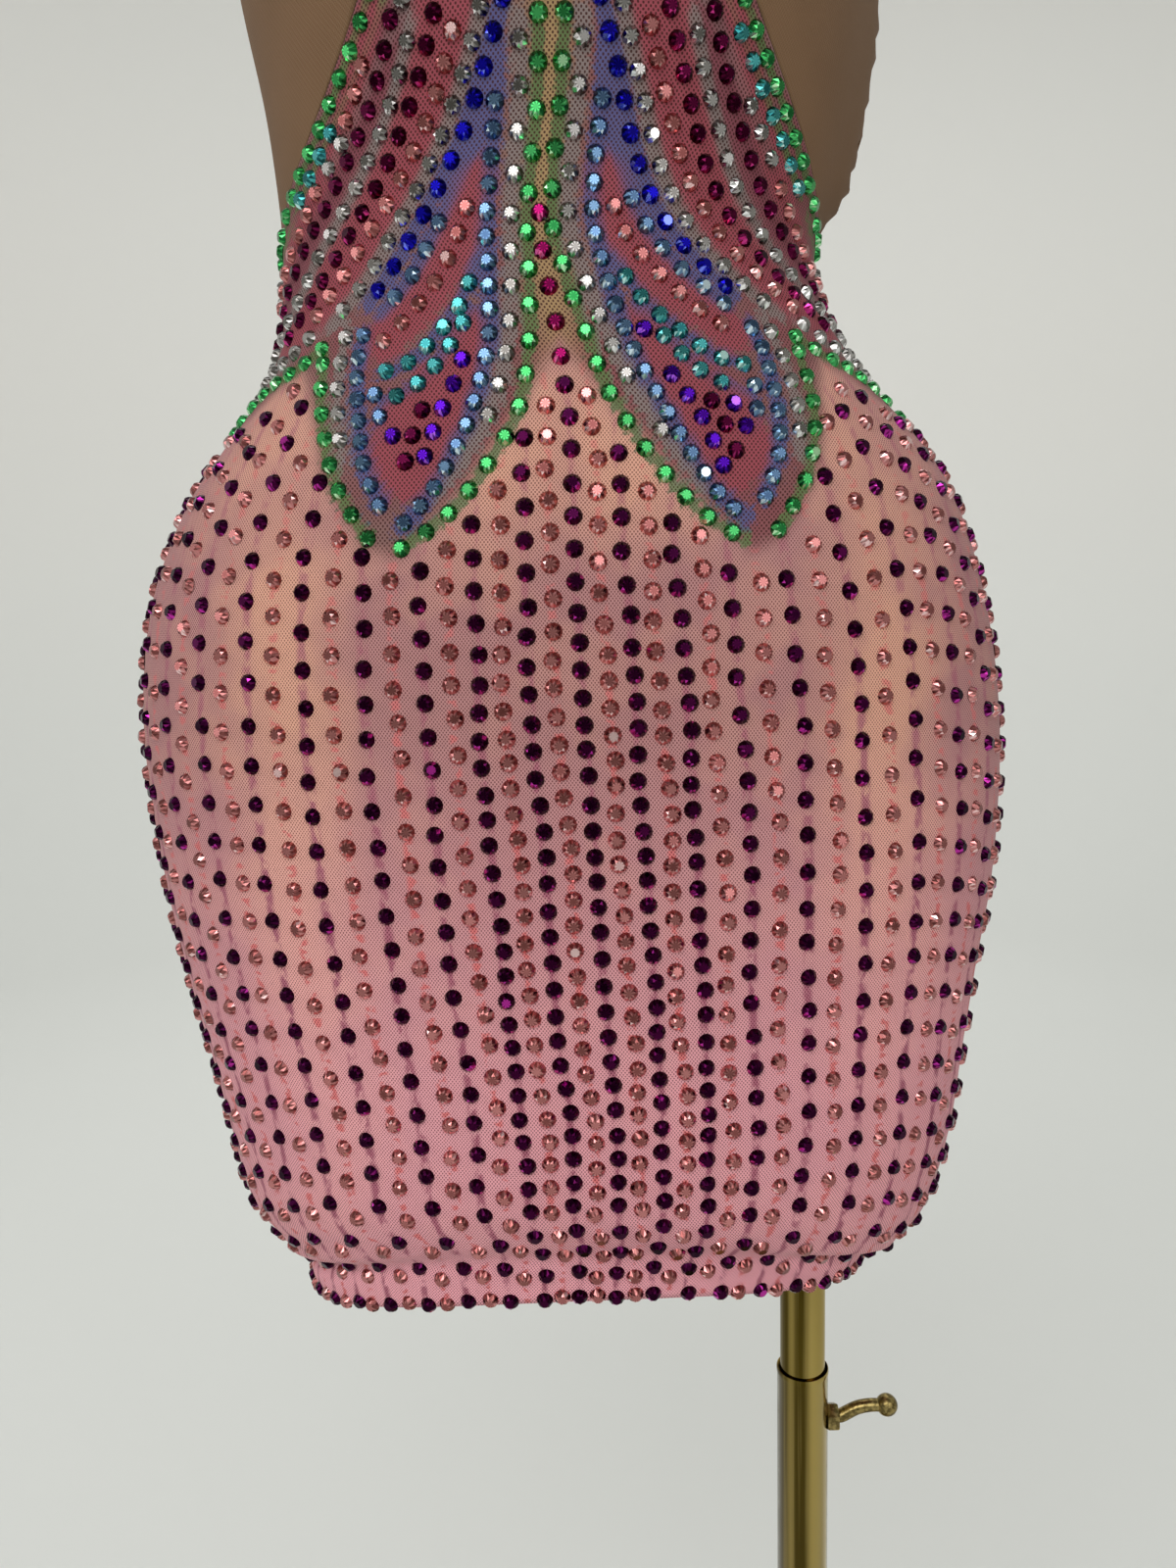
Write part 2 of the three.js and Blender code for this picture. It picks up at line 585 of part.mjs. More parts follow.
// ---- Assembly ----------------------------------------------------------------------------------------------
add("front_panel", frontPanel(), COLOURS.print, 0.75);
add("back_skirt", backSkirt(), COLOURS.print, 0.75);
add("side_mesh_left", sideMesh(1), COLOURS.nude, 0.8);
add("side_mesh_right", sideMesh(-1), COLOURS.nude, 0.8);
add("back_bodice", backBodice(), COLOURS.nude, 0.8);
add("dress_form", dressForm(), COLOURS.form, 0.85);
add("form_socket", formSocket(), COLOURS.brass, 0.25, 1);
add("mast", mast(), COLOURS.brass, 0.2, 1);
add("sleeve", sleeve(), COLOURS.brass, 0.2, 1);
add("base_hub", hub(), COLOURS.brass, 0.25, 1);
add("base_plate", basePlate(), COLOURS.brass, 0.25, 1);
add("clamp_nut", clampNut(), COLOURS.brass, 0.3, 1);
add("clamp_screw", clampScrew(), COLOURS.brass, 0.2, 1);

export default part;
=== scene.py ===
"""A crystal-studded mini dress of stretch mesh on a limbless form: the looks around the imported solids.
Tables and formulas are in millimetres, with heights from HIP_LEVEL; what is given to Blender is in metres."""
import math

import bpy
import numpy as np
from mathutils import Matrix


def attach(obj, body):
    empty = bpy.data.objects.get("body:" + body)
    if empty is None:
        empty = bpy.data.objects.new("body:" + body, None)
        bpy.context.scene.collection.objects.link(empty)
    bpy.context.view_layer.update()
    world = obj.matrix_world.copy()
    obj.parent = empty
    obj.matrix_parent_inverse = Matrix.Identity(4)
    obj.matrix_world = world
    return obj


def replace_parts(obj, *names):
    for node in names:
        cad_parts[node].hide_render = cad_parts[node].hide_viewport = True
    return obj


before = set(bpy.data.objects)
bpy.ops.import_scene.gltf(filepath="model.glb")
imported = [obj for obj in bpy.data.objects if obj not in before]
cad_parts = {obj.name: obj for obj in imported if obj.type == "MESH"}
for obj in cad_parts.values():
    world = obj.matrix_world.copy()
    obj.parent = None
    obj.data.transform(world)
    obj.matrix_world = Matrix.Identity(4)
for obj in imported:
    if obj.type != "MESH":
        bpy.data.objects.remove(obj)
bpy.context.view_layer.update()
MM = 0.001
scene = bpy.context.scene

# ---- Camera ----
CAMERA = dict(place=(-0.100, -0.541, 0.830), down=math.radians(8.0), roll=math.radians(1.4))
LENS = dict(lens=27.0, sensor_width=36.0, sensor_fit="AUTO", clip_start=0.02, clip_end=50)


def make_camera():
    down, roll = CAMERA["down"], CAMERA["roll"]
    level_up = np.array([0, math.sin(down), math.cos(down)])
    across = np.array([1.0, 0, 0])
    right = across * math.cos(roll) - level_up * math.sin(roll)
    up = across * math.sin(roll) + level_up * math.cos(roll)
    back = -np.array([0, math.cos(down), -math.sin(down)])
    data = bpy.data.cameras.new("camera")
    for key, value in LENS.items():
        setattr(data, key, value)
    camera = bpy.data.objects.new("camera", data)
    scene.collection.objects.link(camera)
    turn = Matrix([list(row) for row in np.stack([right, up, back], 1)])
    camera.matrix_world = Matrix.Translation(CAMERA["place"]) @ turn.to_4x4()
    scene.camera = camera


make_camera()
scene.view_settings.view_transform = "Standard"

# ---- The shape that the form and the cloth share: the same sections as the solids, in millimetres ----
HIP_LEVEL = 830.0
FORM_X = -107.0
CLOTH = dict(wall=1.2, clearance=0.75, seam=0.3)
FORM_INSET = 0.3
BUST = dict(depth=15.0, spread=60.0, width=38.0, height=305.0, tall=46.0)
SEAM_RIDGE = dict(low=158.0, rise=26.0, high=284.0, fall=42.0, height=6.8, turn=0.2)
SEAM_WAVES = dict(size=0.16, fast=0.62, sway=0.9, slow=0.11, turn=0.07)
# front_z, side_z, half, front, back, power, shift, lean
SECTIONS = np.array([
    (-278, -304, 129, 89, 92, 2.2, 1, 2.5),
    (-266, -298, 131, 91, 94, 2.2, 1.5, 1.5),
    (-254, -290, 134.5, 95, 98, 2.2, 3.5, -0.5),
    (-244, -282, 143.5, 100, 104, 2.2, 4.5, -2),
    (-237, -274, 153.5, 103, 109, 2.2, 4, -3.5),
    (-225, -260, 160.5, 104.5, 112, 2.2, 4, -3.5),
    (-205, -232, 167, 105, 115, 2.2, 5, -2),
    (-180, -200, 172, 105.5, 118, 2.2, 4.5, 0),
    (-148, -160, 179, 105.5, 120, 2.2, 3, 0),
    (-112, -118, 186, 105, 121, 2.2, 2.5, 0),
    (-75, -75, 189.5, 104.5, 120, 2.2, 1.5, 0),
    (-45, -45, 189.8, 104, 117, 2.2, 0.5, 0),
    (-15, -15, 186.8, 103.5, 113, 2.2, 0, 0),
    (12, 12, 181, 103, 108, 2.2, 0, 0),
    (34, 34, 173.5, 102, 103, 2.15, 1, 0),
    (54, 54, 163.7, 100.5, 98, 2.15, 2, 0),
    (72, 72, 150.5, 98.5, 94, 2.1, 2.5, 0),
    (88, 88, 136.5, 96, 90.5, 2.1, 1.5, 0),
    (104, 104, 124.5, 93, 88, 2.1, 0.5, 0),
    (122, 122, 117, 90.5, 86, 2.05, -2, 0),
    (142, 142, 113, 89, 84.5, 2, -4.5, 0),
    (162, 162, 113.5, 89.5, 84, 2, -3, 0),
    (184, 184, 117.5, 93, 85, 2, 0, 0),
    (214, 214, 122.5, 102, 87, 2, 2, 0),
    (252, 252, 128.5, 111, 90, 2, 1.5, 0),
    (300, 300, 135, 117, 93, 2, 1, 0),
    (340, 340, 142, 112, 96, 2.1, 0, 0),
    (375, 375, 150, 99, 96, 2.2, 0, 0),
    (408, 408, 160, 84, 90, 2.3, 0, 0),
    (438, 438, 168, 70, 80, 2.3, 0, 0),
    (460, 460, 170, 60, 71, 2.2, 0, 0),
    (478, 478, 158, 54, 64, 2.1, 0, 0),
    (494, 494, 128, 51, 59, 2, 0, 0),
    (508, 508, 92, 50, 56, 2, 0, 0),
    (519, 519, 70, 49.5, 54, 2, 0, 0),
    (532, 532, 58, 49, 53, 2, 0, 0),
    (552, 552, 54, 48, 52, 2, 0, 0),
    (570, 570, 54, 48, 52, 2, 0, 0),
], float)
FRONT_Z, SIDE_Z, HALF, FRONT, BACK, POWER, SHIFT, LEAN = range(8)
LAST = len(SECTIONS) - 1
RIGHT_ANGLE = math.pi / 2
FORM_LOW_ROW = 4

PANEL_EDGE = np.array([
    (155, 113), (159, 111.2), (165, 108.2), (174, 102), (186, 92.8), (200, 82.5), (218, 70.8), (240, 59.8),
    (262, 52), (282, 47.5), (296, 45.5), (309, 44.3), (322, 43.5), (336, 42.8), (349, 42.4), (361, 42.1),
    (374, 42), (386, 42), (398, 42),
], float)
NECKLINE = dict(centre=392.0, panel=398.0, strap_x=84.0, strap=444.0, back=430.0)
ARMHOLE = dict(bottom=374.0, strap_x=122.0, strap=444.0)
BACK_EDGE = dict(side=152.0, centre=84.0)


def mix(a, b, t):
    return a + (b - a) * t


def ease(t):
    return t * t * (3 - 2 * t)


def rise(value, low, span):
    """A smooth step from 0 at low to 1 at low + span."""
    return ease(np.clip((value - low) / span, 0, 1))


def gauss(t):
    return np.exp(-np.square(t))


def unit(vectors):
    return vectors / np.linalg.norm(vectors, axis=-1, keepdims=True)


def curve_weights(t):
    return (0.5 * (-t + 2 * t**2 - t**3), 0.5 * (2 - 5 * t**2 + 3 * t**3),
            0.5 * (t + 4 * t**2 - 3 * t**3), 0.5 * (-(t**2) + t**3))


def along(table, where):
    """Catmull-Rom through the rows of table, at fractional row numbers."""
    last = len(table) - 1
    where = np.clip(np.asarray(where, float), 0, last)
    k = np.minimum(np.floor(where).astype(int), last - 1)
    t = (where - k).reshape(where.shape + (1,) * (table.ndim - 1))
    return sum(table[np.clip(k + d, 0, last)] * w for d, w in zip((-1, 0, 1, 2), curve_weights(t)))


def section(row):
    return along(SECTIONS, row)


def height(sec, angle):
    drop = np.where(np.cos(angle) > 0, np.sin(angle) ** 2, 1.0)
    return mix(sec[..., FRONT_Z], sec[..., SIDE_Z], drop) + sec[..., LEAN] * np.sin(angle)


def row_at(angle, z):
    """The row of SECTIONS at which the surface has the height z, by halving."""
    angle, z = np.broadcast_arrays(np.asarray(angle, float), np.asarray(z, float))
    low, high = np.zeros(angle.shape), np.full(angle.shape, float(LAST))
    for _ in range(26):
        middle = (low + high) / 2
        under = height(section(middle), angle) < z
        low, high = np.where(under, middle, low), np.where(under, high, middle)
    return (low + high) / 2


def skin(angle, row):
    """The places on the surface that the solids share. The angle runs from the centre front to the left."""
    angle, row = np.broadcast_arrays(np.asarray(angle, float), np.asarray(row, float))
    s = section(row)
    sine, cosine = np.sin(angle), np.cos(angle)
    power = 2 / s[..., POWER]
    x = s[..., HALF] * np.sign(sine) * np.abs(sine) ** power
    y = np.where(cosine > 0, -s[..., FRONT], s[..., BACK]) * np.abs(cosine) ** power
    z = height(s, angle)
    bust = gauss((np.abs(x) - BUST["spread"]) / BUST["width"]) * gauss((z - BUST["height"]) / BUST["tall"])
    y = y - BUST["depth"] * bust * np.maximum(0, cosine)
    return np.stack([FORM_X + s[..., SHIFT] + x, y, HIP_LEVEL + z], -1)


def normal(angle, row):
    step = 1e-3
    row = np.clip(row, step, LAST - step)
    around = skin(angle + step, row) - skin(angle - step, row)
    up = skin(angle, row + step) - skin(angle, row - step)
    return unit(np.cross(around, up))


def stand_off(angle, row):
    """How far the cloth's inner face is from the surface: more over the ridge along the left side seam."""
    z = height(section(row), angle)
    off_seam_line = angle - RIGHT_ANGLE
    ridge, waves = SEAM_RIDGE, SEAM_WAVES
    share = np.minimum((z - ridge["low"]) / ridge["rise"], (ridge["high"] - z) / ridge["fall"])
    rises = ridge["height"] * ease(np.clip(share, 0, 1)) * gauss(off_seam_line / ridge["turn"])
    wave = np.sin(z * waves["fast"] + waves["sway"] * np.sin(z * waves["slow"]))
    return CLOTH["clearance"] + rises * (1 + waves["size"] * wave * gauss(off_seam_line / waves["turn"]))


# Folds over the hem: how far each stands out in front, how much more at the sides, its row, and its width.
HEM_FOLDS = [(-0.5, -2.8, 1.8, 0.36), (0.2, 4.0, 2.75, 0.5)]


def creases(angle, row):
    """How far the cloth stands in or out where it is turned at the hem and pulled at the waist."""
    z = height(section(row), angle)
    side = np.sin(angle) ** 2
    tuck = sum((front + more * side) * gauss((row - at) / wide) for front, more, at, wide in HEM_FOLDS)
    pulls = 0.35 * np.sin(np.degrees(angle) * 0.35 + z * 0.09) * gauss((z - 132) / 26) * side
    ripples = 0.3 * np.sin(np.degrees(angle) * 0.55 + 1.3 * np.sin(z * 0.02)) * gauss((z + 215) / 30)
    return tuck + pulls + ripples


def outside(angle, row):
    """The places on the cloth's outer face."""
    gap = stand_off(angle, row) + CLOTH["wall"] + creases(angle, row)
    return skin(angle, row) + normal(angle, row) * gap[..., None]


# ---- Lengths along the cloth ----
ARC_STEP = 0.125  # in rows of SECTIONS
ARC_ROWS = np.arange(0, 30.01, ARC_STEP)
ARC_ANGLES = np.radians(np.arange(-180, 180.5, 1.0))


def arc_table():
    """Lengths round the cloth's outer face at each row, before its creases, from the centre front."""
    angle, row = np.broadcast_arrays(ARC_ANGLES[None], ARC_ROWS[:, None])
    p = skin(angle, row) + normal(angle, row) * (CLOTH["clearance"] + CLOTH["wall"])
    steps = np.linalg.norm(np.diff(p, axis=1), axis=-1)
    arcs = np.concatenate([np.zeros((len(ARC_ROWS), 1)), np.cumsum(steps, 1)], 1)
    middle = len(ARC_ANGLES) // 2
    return arcs - arcs[:, middle:middle + 1]


ARCS = arc_table()
QUARTER = np.array([np.interp(RIGHT_ANGLE, ARC_ANGLES, a) for a in ARCS])
HALF_GIRTH = ARCS[:, -1]


def arc_rows(row):
    """The entry of the table of arcs under each row, and the share of the way to the next."""
    where = np.clip(np.asarray(row, float) / ARC_STEP, 0, len(ARC_ROWS) - 1.001)
    k = where.astype(int)
    return k, where - k


def arc_of(angle, row):
    """Length along the section from the centre front, in millimetres, towards the wearer's left."""
    angle, row = np.broadcast_arrays(np.asarray(angle, float), np.asarray(row, float))
    k, t = arc_rows(row)
    where = np.clip(np.degrees((angle + math.pi) % (2 * math.pi)), 0, 359.999)
    i = where.astype(int)
    u = where - i
    low = mix(ARCS[k, i], ARCS[k, i + 1], u)
    high = mix(ARCS[k + 1, i], ARCS[k + 1, i + 1], u)
    return mix(low, high, t)


def angle_of(arc, row):
    """The angle at a length along the section, the reverse of arc_of."""
    arc, row = np.broadcast_arrays(np.asarray(arc, float), np.asarray(row, float))
    flat_arc, flat_row = arc.ravel(), row.ravel()
    out = np.empty(flat_arc.shape)
    k, t = arc_rows(flat_row)
    for n in range(len(out)):
        table = mix(ARCS[k[n]], ARCS[k[n] + 1], t[n])
        out[n] = np.interp(flat_arc[n], table, ARC_ANGLES)
    return out.reshape(arc.shape)


def place_at(arc, z):
    """The angle and row of a place given by its length from the centre front and its height."""
    angle = np.zeros(np.shape(arc))
    for _ in range(5):
        row = row_at(angle, z)
        angle = angle_of(arc, row)
    return angle, row_at(angle, z)


# ---- The layout of the rows of stones, in millimetres of cloth ----
COLUMN_REACH = np.array([0, 9.5, 19.0, 28.6, 38.2, 48.0, 58.3, 69.5, 81.5, 93.8, 106.3, 118.8, 131.3, 143.6,
                         155.5, 167, 178.5] + [190 + 11.5 * n for n in range(30)])
FULL_ROW = 8.6  # the row at which the columns have the spacing of the table above


def centre_line(z):
    """How far the centre column stands to the wearer's left of the form's centre front."""
    return np.interp(z, [-278, -128, 0, 60, 110, 400], [12.5, 8, 5, 1.5, -1, -1])


def column_scale(row):
    """The columns' spacing as a share of the spacing in COLUMN_REACH: it follows the girth."""
    return np.interp(row, ARC_ROWS, QUARTER) / np.interp(FULL_ROW, ARC_ROWS, QUARTER)


def drift(angle, row):
    """How far the columns stand to the left of even ones: by centre_line in front, by nothing at the back."""
    z = section(row)[..., FRONT_Z]
    return centre_line(z) * np.clip((math.pi - np.abs(angle)) / RIGHT_ANGLE, 0, 1)


def wrap(angle):
    """An angle as one between half a turn to the right and half a turn to the left of the centre front."""
    return (np.asarray(angle) + math.pi) % (2 * math.pi) - math.pi


def column_of(angle, row):
    """The place across the columns as a number: whole numbers are the columns themselves."""
    reach = (arc_of(angle, row) - drift(wrap(angle), row)) / column_scale(row)
    return np.sign(reach) * np.interp(np.abs(reach), COLUMN_REACH, np.arange(len(COLUMN_REACH)))


COLUMN_ROWS = np.concatenate([np.linspace(0.12, 2, 24), np.linspace(2.05, 20, 320)])
CENTRE_ROWS, CENTRE_TOP = np.linspace(20.05, 24.4, 60), 90  # the centre column goes on up between the leaves
COLUMN_PITCH = ([4, 5, 7, 9, 12], [9.9, 12.4, 13.2, 14.2, 15.7])  # by the columns from the centre
WAIST_PITCH = dict(more=2.1, low=-60, rise=90)
UNDER_PITCH = dict(more=0.3, row=4.6, rows=1.4)  # how much wider the pitch is under the form's lower edge
COLUMN_WAVES = ((0.75, 1.7), (0.45, 4.1))  # how far the columns sway and how fast, by the row
UNEVEN_PITCH = 0.045
FIRST_STONE = (0.2, 1.8)  # how far the first stone is from the hem's edge, least and most
ROSE_LIFT = 0.36  # the second stone of a rose column is this share of a pitch nearer to the first
HEM_LEVEL = -270
UNDER_EDGE = 9  # how far under the back's upper edge the columns end
COLUMN_ROOM = 3.4  # the least length between a column and the centre back
SHORTEST_COLUMN = 8  # in places of COLUMN_ROWS
BORDER = dict(inside=4.2, pitch=10.3)
BACK_COLUMN = dict(low=1.0, high=20, under_edge=12, pitch=14.2)
CENTRE_STONES = (94, 147)  # the heights between which there are stones between the two inner green rows
STONE_GAP = 6.55  # stones nearer than this to an earlier one are left out

# The waist line of the columns: half width against the height where they end.
COLUMN_TOP = np.array([(0, 96), (9, 84), (15, 76), (24, 64), (38, 46), (52, 32), (66, 19), (78, 24), (88, 38),
                       (96, 54), (103, 82), (108, 92), (122, 89), (145, 80), (170, 74), (400, 74)], float)

# Each row: its stones' colour, its print's colour, the print's half width and strength, the pitch of its
# stones (at its start and at its end, where they differ), its first stone's place in pitches, and its curve
# as (half width, height). Each is laid on both sides.
ROWS = [
    ("green", "leaf", 3.4, 0.95, (14.6, 10.6), 0.0,
     [(4.5, 208), (4, 170), (5, 138), (10, 104), (17, 78), (30, 57), (47, 38), (66, 26)]),
    ("green", "leaf", 3.6, 0.95, 11.0, 0.0, [(77, 31), (87, 46), (94, 64), (97, 84), (96, 104)]),
    ("green", "leaf", 3.6, 0.95, 10.0, 0.0, [(97, 105), (112, 99), (130, 95), (146, 90), (163, 83)]),
    ("crystal", "pale", 4.5, 0.8, (14.6, 10.6), 0.5,
     [(11.5, 208), (10, 170), (11, 138), (17, 106), (25, 82), (37, 62), (50, 46)]),
    ("crystal", "pale", 4.0, 0.7, 10.5, 0.0, [(87, 58), (89, 80), (87, 98), (82, 112)]),
    ("crystal", "pale", 4.0, 0.6, 10.0, 0.5, [(100, 113), (117, 106), (136, 102), (155, 97)]),
    ("sapphire", "blue", 3.8, 1.0, (9.2, 8.4), 0.0,
     [(19.5, 201), (19, 165), (20.5, 132), (26, 100), (38, 70), (52, 47), (65, 34)]),
    ("sapphire", "blue", 3.8, 1.0, 8.6, 0.0, [(72, 43), (78, 58), (80, 76), (79, 96), (75, 108)]),
    ("cobalt", "blue", 3.4, 1.0, (10.8, 10.4), 0.0,
     [(17, 213), (25, 190), (32, 170), (42, 151), (56, 133), (73, 118)]),
    ("sapphire", "blue", 3.6, 0.9, (10.4, 10.0), 0.5,
     [(21, 186), (26.5, 168), (35, 149), (48, 130), (58, 121), (67, 114)]),
    ("crystal", "pale", 4.4, 0.9, (10.6, 10.2), 0.0,
     [(25, 211), (33, 188), (44, 162), (61, 138), (79, 122), (93, 113)]),
    ("rose", "crimson", 5.5, 1.0, (10.4, 10.0), 0.5,
     [(33.5, 210), (42, 186), (54.5, 161), (74, 138), (95, 122), (114, 111)]),
    ("plum", "crimson", 5.5, 1.0, (10.2, 9.8), 0.0,
     [(42, 211), (51, 187), (65, 160), (86, 138), (109, 122), (131, 110)]),
    ("crystal", "pale", 4.2, 0.9, (10.4, 10.0), 0.5,
     [(51, 209), (60, 186), (76, 160), (98, 139), (121, 123), (146, 110)]),
    ("plum", "plum", 5.2, 1.0, (10.0, 9.6), 0.0,
     [(59, 212), (69.5, 187), (89, 161), (112, 142), (135, 126), (157, 115)]),
    ("rose", "crimson", 5.5, 1.0, (9.8, 9.6), 0.5,
     [(67, 213), (79, 188), (102, 161), (125, 144), (151, 130)]),
    ("rose", "crimson", 6.4, 1.0, 9.6, 0.0, [(24, 158), (31, 139), (42, 124), (54, 113), (67, 104)]),
    ("teal", "blue", 3.4, 0.7, 9.2, 0.0, [(25, 131), (33, 116), (45, 104), (57, 95), (69, 92)]),
    ("teal", "blue", 3.4, 0.6, 9.2, 0.5, [(31, 112), (42, 98), (54, 87), (68, 81)]),
    ("violet", "crimson", 6.4, 1.0, 9.6, 0.0, [(32, 104), (39, 89), (49, 72), (57, 52)]),
    ("plum", "crimson", 6.4, 1.0, 10.0, 0.0, [(49, 86), (57, 71), (63, 54)]),
    ("violet", "crimson", 6.0, 1.0, 9.6, 0.0, [(62, 77), (69, 62)]),
    ("sapphire", "blue", 3.0, 0.5, 9.4, 0.0, [(72, 84), (70, 68)]),
]
# The last stones of those rows before the side seam: with one pitch, and lengths from the centre front.
SIDE_ROWS = [
    ("green", "leaf", 3.0, 0.85, 10.3, [(142.8, 155.8), (153.6, 152.4)]),
    ("teal", "leaf", 3.2, 0.7, 10.3, [(123, 159.2), (131, 154.7), (139.5, 150.3), (155.5, 145.6)]),
    ("crystal", "pale", 4.6, 0.8, 10.6, [(146, 141.5), (158, 137.4)]),
    ("rose", "crimson", 6.0, 1.0, 9.6, [(160.3, 126.3), (162, 125.7)]),
    ("plum", "plum", 5.2, 1.0, 9.6, [(166, 111.5), (168, 110.9)]),
    ("crystal", "pale", 4.2, 0.9, 9.6, [(155.5, 107.3), (174, 102)]),
    ("crystal", "pale", 4.0, 0.6, 9.6, [(164.7, 94.5), (182.5, 90)]),
    ("green", "leaf", 3.6, 0.95, 9.8, [(172.8, 80.4), (183, 78.6), (193, 77.8)]),
]
# Rows that follow the printed panel's slanted edge: with the pitch, the first stone's place, how far inside
# the edge they are, their first height, and how near to the centre front they come.
EDGE_ROWS = [("green", "leaf", 3.0, 0.85, 10.3, 0.0, 4.4, 159, 0),
             ("teal", "leaf", 3.2, 0.7, 10.3, 0.5, 10.6, 164, 0),
             ("crystal", "pale", 4.6, 0.8, 10.6, 0.0, 17.4, 172, 20)]
EDGE_ROWS_TOP, UPPER_ROWS_TOP = 392, 386
# Plain rows from there up to the neckline: with the pitch, a share of the half width and the first height.
UPPER_ROWS = [("green", "leaf", 3.0, 0.6, 12.4, 0.09, 222), ("cobalt", "blue", 3.4, 0.7, 11.0, 0.3, 226),
              ("rose", "crimson", 5.5, 0.9, 10.6, 0.52, 224), ("plum", "crimson", 4.5, 0.85, 10.6, 0.7, 262)]
PRINTS = {"leaf": (0.048, 0.126, 0.014), "pale": (0.175, 0.138, 0.132), "blue": (0.028, 0.045, 0.195),
          "crimson": (0.265, 0.011, 0.038), "plum": (0.160, 0.006, 0.032)}
PRINT_WIDTHS = {"leaf": 0.68, "pale": 0.80, "blue": 0.92, "crimson": 1.3, "plum": 1.25}


def smooth_line(points, count=160):
    table = np.array(points, float)
    return along(table, np.linspace(0, len(table) - 1, count))


def run_of(line):
    """The length from the start of a line of 3-D points to each of them."""
    return np.concatenate([[0], np.cumsum(np.linalg.norm(np.diff(line, axis=0), axis=1))])


def walk(line, pitch, phase=0.0):
    """Places along a line of 3-D points, as fractional indexes, at steps from one pitch to another."""
    first, last = (pitch, pitch) if np.isscalar(pitch) else pitch
    run = run_of(line)
    at, places = phase * first, []
    while at <= run[-1] + 0.01:
        places.append(at)
        at += mix(first, last, at / run[-1]) * random.normal(1, 0.02)
    return np.interp(places, run, np.arange(len(line)))


def pick(values, where):
    return np.interp(where, np.arange(len(values)), values)


random = np.random.default_rng(7)
stones = {}  # colour -> list of (angle, row)
print_lines = []  # (points in (arc, z), print colour, half width, strength)


def add_stones(colour, angle, row):
    stones.setdefault(colour, []).append(np.stack([angle, row], 1))


def panel_edge_line():
    """The printed panel's slanted edge as (angle, z), smooth, from the waist up."""
    sec = section(row_at(np.zeros(len(PANEL_EDGE)), PANEL_EDGE[:, 0]))
    angle = np.arcsin(np.clip((PANEL_EDGE[:, 1] / sec[:, HALF]) ** (sec[:, POWER] / 2), 0, 1))
    angle[0] = seam_angle(PANEL_EDGE[:1, 0])[0] - 0.02
    return along(np.stack([angle, PANEL_EDGE[:, 0]], 1), np.linspace(0, len(PANEL_EDGE) - 1, 400))


def seam_angle(z):
    sec = section(row_at(np.full(np.shape(z), RIGHT_ANGLE), z))
    return np.arccos((CLOTH["seam"] / 2 / sec[..., FRONT]) ** (sec[..., POWER] / 2))


def angle_of_width(x, z):
    sec = section(row_at(np.zeros(np.shape(z)), z))
    return np.arcsin(np.minimum(1, (np.abs(x) / sec[..., HALF]) ** (sec[..., POWER] / 2)))


EDGE_LINE = panel_edge_line()


def edge_angle(z):
    """The angle of the printed panel's slanted edge at a height."""
    return np.interp(z, EDGE_LINE[:, 1], EDGE_LINE[:, 0])


def lay_row(arc, z, colour, tint, half_width, strength, pitch, phase=0.0):
    """One row: its stones, and its line of print."""
    angle, row = place_at(arc, z)
    where = walk(outside(angle, row), pitch, phase)
    add_stones(colour, pick(angle, where), pick(row, where))
    print_lines.append((np.stack([arc, z], 1), tint, half_width, strength))


def lay_both(arc, z, *look, middle=0):
    """A row and its mirror image, on both sides of a middle line."""
    for side in (-1, 1):
        lay_row(side * arc + middle, z, *look)


def lay_rows():
    for *look, points in ROWS:
        half, z = smooth_line(points).T
        lay_both(half, z, *look, middle=centre_line(z))
    for *look, inside, low, nearest in EDGE_ROWS:
        z = np.linspace(low, EDGE_ROWS_TOP, 200)
        edge = arc_of(edge_angle(z), row_at(edge_angle(z), z))
        arc = edge - inside * np.hypot(1, np.gradient(edge, z))
        keep = arc > nearest
        lay_both(arc[keep], z[keep], *look)
    for *look, share, low in UPPER_ROWS:
        z = np.linspace(low, UPPER_ROWS_TOP, 120)
        arc = share * arc_of(edge_angle(z), row_at(edge_angle(z), z))
        lay_both(arc, z, *look, middle=centre_line(z) if share < 0.2 else 0)


def column_pitch(k, z):
    """The pitch of the stones down column k: wider towards the sides, and in the middle towards the waist."""
    pitch = np.interp(abs(k), *COLUMN_PITCH)
    if abs(k) <= COLUMN_PITCH[0][0]:
        pitch += WAIST_PITCH["more"] * rise(z, WAIST_PITCH["low"], WAIST_PITCH["rise"])
    return pitch


def back_edge(angle):
    """The height of the back skirt's upper edge."""
    return mix(BACK_EDGE["side"], BACK_EDGE["centre"], np.abs(np.cos(angle)) ** 0.8)


def column_line(k, sway):
    """Column k from the hem up as angles, rows and heights, as far as there is room for it."""
    if k == 0:
        row = np.concatenate([COLUMN_ROWS, CENTRE_ROWS])
        angle = angle_of(centre_line(section(row)[..., FRONT_Z]), row)
        z = height(section(row), angle)
        keep = z < CENTRE_TOP
    else:
        row = COLUMN_ROWS
        reach = np.sign(k) * COLUMN_REACH[abs(k)] * column_scale(row)
        for (far, fast), start in zip(COLUMN_WAVES, sway):
            reach = reach + far * np.sin(row * fast + start)
        angle = angle_of(reach + drift(angle_of(reach, row), row), row)
        z = height(section(row), angle)
        half = np.abs(reach)
        top = np.interp(half, COLUMN_TOP[:, 0], COLUMN_TOP[:, 1])
        top = np.where(np.abs(angle) > RIGHT_ANGLE, back_edge(angle) - UNDER_EDGE, top)
        keep = (z < top) & (half < np.interp(row, ARC_ROWS, HALF_GIRTH) - COLUMN_ROOM)
    return angle[keep], row[keep], z[keep]


